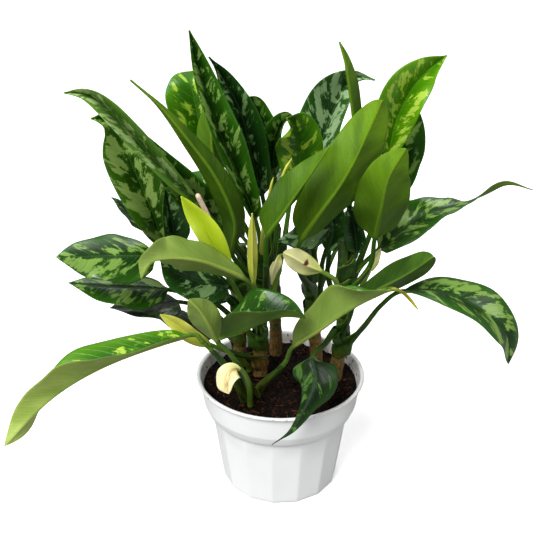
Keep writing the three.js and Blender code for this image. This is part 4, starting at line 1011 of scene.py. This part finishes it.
def leaf_skin_group():
    """Colour, roughness, wax and height of a leaf's two sides and its petiole."""
    tree = bpy.data.node_groups.new("leaf_skin", "ShaderNodeTree")
    for label in LAYERS:
        tree.interface.new_socket(label, in_out="INPUT", socket_type="NodeSocketColor")
    for label, kind in (("Color", "Color"), ("Roughness", "Float"), ("Wax", "Float"), ("Height", "Float")):
        tree.interface.new_socket(label, in_out="OUTPUT", socket_type="NodeSocket" + kind)
    given, out = tree.nodes.new("NodeGroupInput").outputs, tree.nodes.new("NodeGroupOutput").inputs
    place = surface(tree)
    vein, across = wire(tree, "SeparateXYZ", {0: place}).outputs[:2]
    across = math(tree, "ABSOLUTE", across)
    labels = ("edge", "upper", "stalk", "blotches", "along", "ripe")
    edge, upper, stalk, share, along, ripe = (mark(tree, label) for label in labels)

    torn = noise(tree, stretched(tree, place, (0.95, 0.8, 1)), 1.0, 6.0, 0.64, 0.35)
    cluster = noise(tree, stretched(tree, place, (0.42, 0.36, 1), (5, 8, 0)), 1.0, 1.0)
    streaks = noise(tree, stretched(tree, place, (7.0, 1.2, 1), (7, 3, 0)), 1.0, 3.0, 0.6)
    fleck = noise(tree, stretched(tree, place, (6.0, 4.0, 1), (1, 9, 0)), 1.0, 2.0, 0.6)
    zone = times(tree, step(tree, edge, 0.03, 0.2), step(tree, edge, 0.96, 0.7))
    field = torn
    for layer, weight in ((cluster, 0.42), (share, 0.2), (zone, 0.1)):
        field = math(tree, "MULTIPLY_ADD", layer, weight, field)
    core = step(tree, field, 0.9, 0.93)
    wash = step(tree, field, 0.85, 0.89)
    specks = times(tree, step(tree, fleck, 0.62, 0.64), step(tree, field, 0.8, 0.87))
    patch = math(tree, "MAXIMUM", step(tree, field, 0.892, 0.9), times(tree, specks, 0.8))

    turn = math(tree, "ADD", math(tree, "DIVIDE", vein, 0.8), times(tree, cluster, 1.4))
    off_vein = math(tree, "ABSOLUTE", math(tree, "SUBTRACT", math(tree, "FRACT", turn), 0.5))
    veins = step(tree, off_vein, 0.38, 0.5)
    from_rib = math(tree, "DIVIDE", across, step(tree, along, 0.0, 1.0, 0.11, 0.02))

    def layered(under, layers):
        """Colours laid over one another, each with its own cover."""
        for cover, colour in layers:
            under = blend(tree, cover, under, colour)
        return under

    pale = layered(given["Wash"], [(core, given["Patch"]), (0.6, given["Patch"])])
    body = layered(given["Deep"], [
        (step(tree, edge, 0.25, 1.0), given["Margin"]),
        (times(tree, step(tree, cluster, 0.35, 0.65), 0.35), given["Margin"]),
        (times(tree, wash, 0.6), given["Wash"]),
        (times(tree, veins, 0.1), given["Wash"]),
        (patch, pale),
        (times(tree, step(tree, from_rib, 0.6, 0.25), 0.5), given["Wash"]),
    ])
    back = layered(given["Shade"], [
        (step(tree, cluster, 0.25, 0.6, 0.3, 1.0), given["Back"]),
        # Painted shade: the lower side darkens towards the blade's base, deep inside the plant.
        (times(tree, step(tree, along, 0.9, 0.3), 0.75), given["Shade"]),
        (times(tree, step(tree, fleck, 0.4, 0.75), 0.3), given["Shade"]),
        (times(tree, patch, 0.1), given["Rib"]),
        (times(tree, times(tree, veins, streaks), 0.14), given["Rib"]),
        (times(tree, step(tree, from_rib, 1.4, 0.6), 0.55), given["Rib"]),
    ])
    stem = blend(tree, step(tree, streaks, 0.35, 0.7), given["Stalk"], given["Shade"])
    skin = layered(back, [(upper, body), (times(tree, ripe, 0.85), YELLOW_TIP), (stalk, stem)])
    tree.links.new(skin, out["Color"])
    rough = math(tree, "MULTIPLY_ADD", streaks, 0.12, step(tree, upper, 0.0, 1.0, 0.5, 0.27))
    rough = math(tree, "MULTIPLY_ADD", step(tree, across, 0.3, 0.1), 0.3, rough)
    tree.links.new(rough, out["Roughness"])
    wax = times(tree, upper, step(tree, cluster, 0.3, 0.6, 0.08, 0.36))
    wax = times(tree, wax, step(tree, across, 0.1, 0.3))
    tree.links.new(times(tree, wax, step(tree, stalk, 0.0, 1.0, 1.0, 0.2)), out["Wax"])
    raised = times(tree, veins, step(tree, upper, 0.0, 1.0, 0.35, -0.7))
    for bumps, weight in ((streaks, 0.5), (fleck, 0.3)):
        raised = math(tree, "MULTIPLY_ADD", bumps, weight, raised)
    tree.links.new(raised, out["Height"])
    return tree


leaf_skin = leaf_skin_group()

# %% Leaf materials
# Some skins are darker copies of others and so paint shade: the one of the leaves lying level in the light
# (left_wide, left_low, right_drooping, far_right, front_center) dims their pale patches, those of s_curve,
# folded_underside and bent_end paint the shade over them, and the near-black one of left_dark and left_shadow
# paints the shadow under the leaves above them.
# The skins of arch_left and glossy_back are lighter, greyer copies of the mature and dark ones, and
# glossy_back has a high blotch share: their pale grey-green is a painted sheen, a painted reflection of the
# lights.
SKIN_TABLE = """
dark | 10 36 8, 26 70 12, 118 152 96, 48 90 36, 74 108 22, 38 66 10, 104 140 50, 30 66 8
darkest | 6 22 5, 18 48 9, 66 96 44, 24 54 16, 60 92 22, 32 56 10, 90 124 44, 24 54 8
silver_dark | 20 54 18, 42 86 26, 146 174 126, 84 122 68, 74 108 22, 38 66 10, 104 140 50, 30 66 8
fresh | 26 72 4, 64 118 8, 160 192 100, 94 142 40, 92 124 32, 56 90 14, 126 156 62, 44 86 8
shaded | 7 27 4, 26 60 8, 72 108 40, 42 80 24, 84 114 30, 44 74 12, 96 130 50, 40 78 10
mature | 16 52 6, 44 96 8, 132 168 80, 74 122 38, 92 124 32, 56 90 14, 126 156 62, 44 86 8
level | 14 46 5, 38 84 8, 116 150 66, 64 106 30, 92 124 32, 56 90 14, 126 156 62, 44 86 8
grown | 36 88 0, 66 120 4, 150 182 56, 92 142 18, 96 134 14, 62 100 6, 138 170 44, 60 106 8
young | 58 116 0, 92 146 6, 160 192 64, 98 148 20, 96 134 14, 62 100 6, 138 170 44, 60 106 8
silver | 58 104 24, 90 134 44, 170 196 128, 118 154 74, 92 124 32, 56 90 14, 126 156 62, 44 86 8
bright_back | 22 64 4, 52 106 6, 140 174 66, 76 124 18, 100 139 8, 54 88 2, 114 152 24, 52 100 6
bent_back | 18 52 6, 44 88 8, 112 144 62, 66 104 24, 70 106 26, 28 58 4, 100 134 44, 44 86 8
deep_back | 22 64 4, 52 106 6, 140 174 66, 76 124 18, 82 120 4, 42 74 1, 98 134 18, 52 100 6
olive_back | 26 72 6, 60 114 10, 158 184 76, 88 138 34, 144 168 80, 100 126 46, 158 176 76, 60 100 14
pale_back | 36 92 6, 76 128 10, 166 194 70, 104 152 34, 164 184 92, 124 152 54, 190 204 128, 46 88 10
"""


def leaf_material(name, colours):
    """A glossy leaf: the skin group's colour, roughness and wax, and its height as a shallow bump."""
    material, tree, shader = new_material("leaf_" + name)
    layers = {label: (*rgb(*colour), 1.0) for label, colour in zip(LAYERS, colours)}
    skin = wire(tree, "Group", layers, node_tree=leaf_skin).outputs
    finish(tree, shader, skin["Color"], skin["Roughness"], (0.6, 0.0006, skin["Height"]), 0.22)
    tree.links.new(skin["Wax"], shader["Coat Weight"])
    shader["Coat Roughness"].default_value = 0.16
    return material


skins = {}
for row in SKIN_TABLE.strip().splitlines():
    name, colours = row.split("|")
    skins[name.strip()] = leaf_material(name.strip(), numbers(colours))
for name, piece in leaf_pieces.items():
    piece.data.materials.append(skins[LEAVES[name]["skin"]])
print("leaf materials:", sorted(skins))

# %% Spathe and spadix materials
BROWN_SPOT = (0.0212, 0, 0.2627)
THROAT = rgb(168, 112, 48)
SPOT_REACH = [(0.0029, 0.0019, rgb(132, 84, 36)), (0.0016, 0.0008, rgb(62, 30, 16))]


def spathe_material(name, body, shade, stalk, throat_share=0.0):
    """A soft, slightly glossy bract: a greener base that fades to the pale body, and fine long veins."""
    material, tree, shader = new_material(name)
    place = surface(tree)
    lines = noise(tree, stretched(tree, place, (1.2, 14, 1)), 1.0, 2.0)
    mottle = noise(tree, place, 2.2, 3.0)
    colour = blend(tree, step(tree, mark(tree, "along"), 0.0, 0.5), shade, body)
    colour = blend(tree, times(tree, step(tree, lines, 0.45, 0.7), 0.25), colour, shade)
    colour = blend(tree, times(tree, step(tree, mottle, 0.5, 0.8), 0.3), colour, shade)
    throat = times(tree, mark(tree, "upper"), step(tree, mark(tree, "edge"), 0.5, 0.05))
    throat = times(tree, throat, step(tree, lines, 0.4, 0.6))
    colour = blend(tree, times(tree, throat, throat_share), colour, THROAT)
    colour = blend(tree, mark(tree, "stalk"), colour, stalk)
    away = wire(tree, "VectorMath", {0: in_object(tree), 1: BROWN_SPOT}, operation="SUBTRACT").outputs[0]
    away = wire(tree, "VectorMath", {0: away, 1: (1, 0, 1.3)}, operation="MULTIPLY").outputs[0]
    away = wire(tree, "VectorMath", {0: away}, operation="LENGTH").outputs["Value"]
    away = times(tree, away, step(tree, mottle, 0.3, 0.7, 0.8, 1.3))
    for outside, inside, brown in SPOT_REACH:
        colour = blend(tree, step(tree, away, outside, inside), colour, brown)
    finish(tree, shader, colour, step(tree, mottle, 0.3, 0.7, 0.38, 0.5), (0.35, 0.0004, lines))
    return material


lime = spathe_material("spathe_lime", rgb(184, 206, 36), rgb(150, 184, 24), rgb(96, 140, 30))
cream = spathe_material("spathe_cream", rgb(228, 224, 160), rgb(196, 206, 104), rgb(112, 148, 34))
yellow = spathe_material("spathe_yellow", rgb(204, 206, 84), rgb(172, 184, 56), rgb(100, 138, 30))
opened = spathe_material("spathe_open", rgb(236, 230, 176), rgb(206, 206, 128), rgb(88, 120, 30), 0.8)
others = {"spathe_lime": lime, "spathe_closed": yellow, "spathe_behind_long_left": yellow,
          "spathe_open_low": opened}
for name, piece in spathe_pieces.items():
    piece.data.materials.append(others.get(name, cream))
for piece in spike_pieces:
    piece.data.materials.append(yellow)


def spotted_material(name, scale, detail, roughness, levels, dark, light, rough, gloss=0.5):
    """One noise that turns a dark colour into a light one between two levels, and sets the roughness."""
    material, tree, shader = new_material(name)
    spots = noise(tree, in_object(tree), scale, detail, roughness)
    colour = blend(tree, step(tree, spots, *levels), dark, light)
    finish(tree, shader, colour, step(tree, spots, 0.3, 0.7, *rough), gloss=gloss)
    return material


spadix.data.materials.append(spotted_material(
    "spadix", 900.0, 2.0, 0.5, (0.4, 0.65), rgb(248, 230, 210), rgb(224, 182, 148), (0.5, 0.75)))

# %% [markdown]
# ## Canes, pot and soil finishes
# The stems' greens and browns follow the attributes that their surfaces carry. The pot is plain satin
# plastic, so its finish is in faint unevenness and in the smears of soil that every potted plant leaves
# inside the rim.


# %% Cane and sheath materials
def cane_material():
    """Green stem, rusty scars, tan woody foot, with lengthwise streaks."""
    material, tree, shader = new_material("cane_bark")
    place = surface(tree)
    streak = noise(tree, stretched(tree, place, (2.5, 1.2, 1)), 1.6, 3.0, 0.6)
    grain = noise(tree, stretched(tree, place, (3.0, 14, 1)), 1.0, 2.0)
    green = blend(tree, step(tree, streak, 0.35, 0.65), rgb(30, 58, 10), rgb(66, 100, 22))
    tan = blend(tree, step(tree, grain, 0.35, 0.65), rgb(104, 74, 32), rgb(160, 124, 66))
    colour = blend(tree, times(tree, mark(tree, "wood"), step(tree, streak, 0.3, 0.55)), green, tan)
    scar = times(tree, step(tree, mark(tree, "scar"), 0.25, 0.8), 0.85)
    colour = blend(tree, scar, colour, rgb(150, 84, 32))
    finish(tree, shader, colour, step(tree, streak, 0.3, 0.7, 0.45, 0.65), (0.5, 0.0008, grain))
    return material


def sheath_material():
    """Fresh green with fine lengthwise lines and yellow-green margins, and papery tan where old and low."""
    material, tree, shader = new_material("sheath")
    place = surface(tree)
    lines = noise(tree, stretched(tree, place, (14.0, 0.5, 1)), 1.0, 2.0)
    cloud = noise(tree, stretched(tree, place, (1.2, 0.5, 1)), 1.0, 3.0, 0.6)
    colour = blend(tree, step(tree, cloud, 0.35, 0.65), rgb(22, 50, 6), rgb(56, 96, 14))
    colour = blend(tree, times(tree, step(tree, lines, 0.45, 0.7), 0.35), colour, rgb(24, 52, 8))
    margin = times(tree, step(tree, mark(tree, "edge"), 0.85, 0.97), step(tree, cloud, 0.3, 0.6, 0.2, 0.8))
    colour = blend(tree, margin, colour, rgb(132, 146, 48))
    dry = times(tree, mark(tree, "wood"), step(tree, cloud, 0.36, 0.5))
    husk = blend(tree, step(tree, lines, 0.35, 0.65), rgb(104, 58, 24), rgb(158, 116, 62))
    colour = blend(tree, dry, colour, husk)
    finish(tree, shader, colour, step(tree, cloud, 0.3, 0.7, 0.38, 0.55), (0.4, 0.0005, lines), 0.3)
    return material


for pieces, material in ((cane_pieces, cane_material()), (sheath_pieces, sheath_material())):
    for piece in pieces:
        piece.data.materials.append(material)


# %% Pot material
def pot_material():
    """White satin plastic with faint unevenness, and soil smears on the inner wall above the soil."""
    material, tree, shader = new_material("pot_plastic")
    place, inner = in_object(tree), mark(tree, "inside")
    cloud = noise(tree, place, 14.0, 3.0)
    speck = noise(tree, place, 260.0, 3.0, 0.6)
    smear = noise(tree, place, 60.0, 4.0, 0.65)
    colour = blend(tree, step(tree, cloud, 0.3, 0.7), rgb(243, 244, 244), rgb(249, 250, 250))
    stain = times(tree, inner, step(tree, smear, 0.42, 0.68))
    colour = blend(tree, times(tree, stain, 0.55), colour, rgb(150, 132, 104))
    dirt = times(tree, inner, step(tree, speck, 0.6, 0.64))
    colour = blend(tree, dirt, colour, rgb(70, 50, 36))
    rough = math(tree, "MULTIPLY_ADD", dirt, 0.4, step(tree, cloud, 0.3, 0.7, 0.34, 0.42))
    finish(tree, shader, colour, rough, (0.12, 0.0005, speck))
    return material


pot.data.materials.append(pot_material())


# %% Soil material
def soil_material():
    """Dark damp peat: browns in patches of two sizes, rough, with a strong crumbly bump."""
    material, tree, shader = new_material("potting_soil")
    place = in_object(tree)
    crumbs = noise(tree, place, 420.0, 4.0, 0.65)
    clods = noise(tree, place, 120.0, 3.0, 0.6)
    colour = blend(tree, step(tree, clods, 0.35, 0.65), rgb(6, 3, 2), rgb(24, 14, 9))
    colour = blend(tree, step(tree, crumbs, 0.6, 0.7), colour, rgb(70, 42, 26))
    height = math(tree, "MULTIPLY_ADD", clods, 1.5, crumbs)
    finish(tree, shader, colour, step(tree, crumbs, 0.3, 0.7, 0.95, 0.7), (0.9, 0.002, height), 0.1)
    return material


soil.data.materials.append(soil_material())
browns = [("peat_crumbs", rgb(8, 4, 3), rgb(52, 31, 20)), ("root_fibres", rgb(40, 22, 14), rgb(120, 76, 46))]
for piece, (name, dark, pale) in zip(litter, browns):
    piece.data.materials.append(spotted_material(
        name, 160.0, 3.0, 0.7, (0.38, 0.62), dark, pale, (0.95, 0.75), 0.1))

# %% [markdown]
# ## Floor, light and camera
# The photograph was taken in front of plain white, from above the plant. Large soft lights give the long
# pale highlights on the leaves, and a dim white world, which only the camera sees as bright, fills the
# rest. The camera's height, tilt and lens were worked out from the pot's ellipses and the rim's width.


# %% Floor
FLOOR_HALF = 6
FLOOR_CORNERS = [(-FLOOR_HALF, -FLOOR_HALF, 0), (FLOOR_HALF, -FLOOR_HALF, 0), (FLOOR_HALF, FLOOR_HALF, 0),
                 (-FLOOR_HALF, FLOOR_HALF, 0)]


def floor_material():
    """White paper to the camera, with very faint mottling, and a mid grey to every other ray.

    So the sheet doesn't throw its light up into the plant."""
    material, tree, shader = new_material("studio_floor")
    seen = wire(tree, "LightPath").outputs["Is Camera Ray"]
    paper = blend(tree, noise(tree, in_object(tree), 3.0), (0.93, 0.93, 0.93), (0.96, 0.96, 0.96))
    tree.links.new(blend(tree, seen, (0.3, 0.3, 0.3), paper), shader["Base Color"])
    tree.links.new(blend(tree, seen, (0.0, 0.0, 0.0), (1.0, 1.0, 1.0)), shader["Emission Color"])
    shader["Emission Strength"].default_value = 0.35
    shader["Roughness"].default_value = 0.9
    return material


floor_mesh = bpy.data.meshes.new("studio_floor")
floor_mesh.from_pydata(FLOOR_CORNERS, [], [(0, 1, 2, 3)])
floor = bpy.data.objects.new("studio_floor", floor_mesh)
floor.data.materials.append(floor_material())
bpy.context.scene.collection.objects.link(floor)


# %% Lights
AIM = np.array([0, 0, 0.25])


def light(name, kind, place, power, **shape):
    """A lamp at a place, turned towards the plant. An area lamp's reflection is the pale streak on a leaf."""
    data = bpy.data.lights.new(name, kind)
    data.energy = power
    for key, value in shape.items():
        setattr(data, key, value)
    lamp = bpy.data.objects.new(name, data)
    aim = AIM - np.array(place)
    lamp.location = place
    lamp.rotation_euler = (np.arccos(-aim[2] / np.linalg.norm(aim)), 0, np.arctan2(aim[0], -aim[1]) + np.pi)
    bpy.context.scene.collection.objects.link(lamp)


light("soft_sky", "SUN", (-0.55, -0.95, 1.5), 3.5, angle=np.radians(30))
light("window_left", "AREA", (-1.1, -0.3, 1.3), 12, size=0.7)
light("window_right", "AREA", (1.2, -0.5, 1.0), 5, size=0.6)
light("window_back", "AREA", (0.1, 1.0, 1.4), 9, size=0.9)

world = bpy.data.worlds.new("studio")
world.use_nodes = True
background = world.node_tree.nodes["Background"].inputs
background["Color"].default_value = (1, 1, 1, 1)
seen = wire(world.node_tree, "LightPath").outputs["Is Camera Ray"]
world.node_tree.links.new(step(world.node_tree, seen, 0, 1, 0.22, 1.0), background["Strength"])
bpy.context.scene.world = world
bpy.context.scene.view_settings.view_transform = "Standard"

# %% Camera
PICTURE_WIDTH_PX = 533
FOCAL_PX = 1000
SENSOR = 36
PITCH = 26.14
camera = bpy.data.objects.new("camera", bpy.data.cameras.new("camera"))
camera.location = (-0.0136, -0.841, 0.646)
camera.rotation_euler = (np.radians(90 - PITCH), 0, 0)
camera.data.sensor_width = SENSOR
camera.data.lens = SENSOR * FOCAL_PX / PICTURE_WIDTH_PX
camera.data.clip_start = 0.01
bpy.context.scene.collection.objects.link(camera)
bpy.context.scene.camera = camera
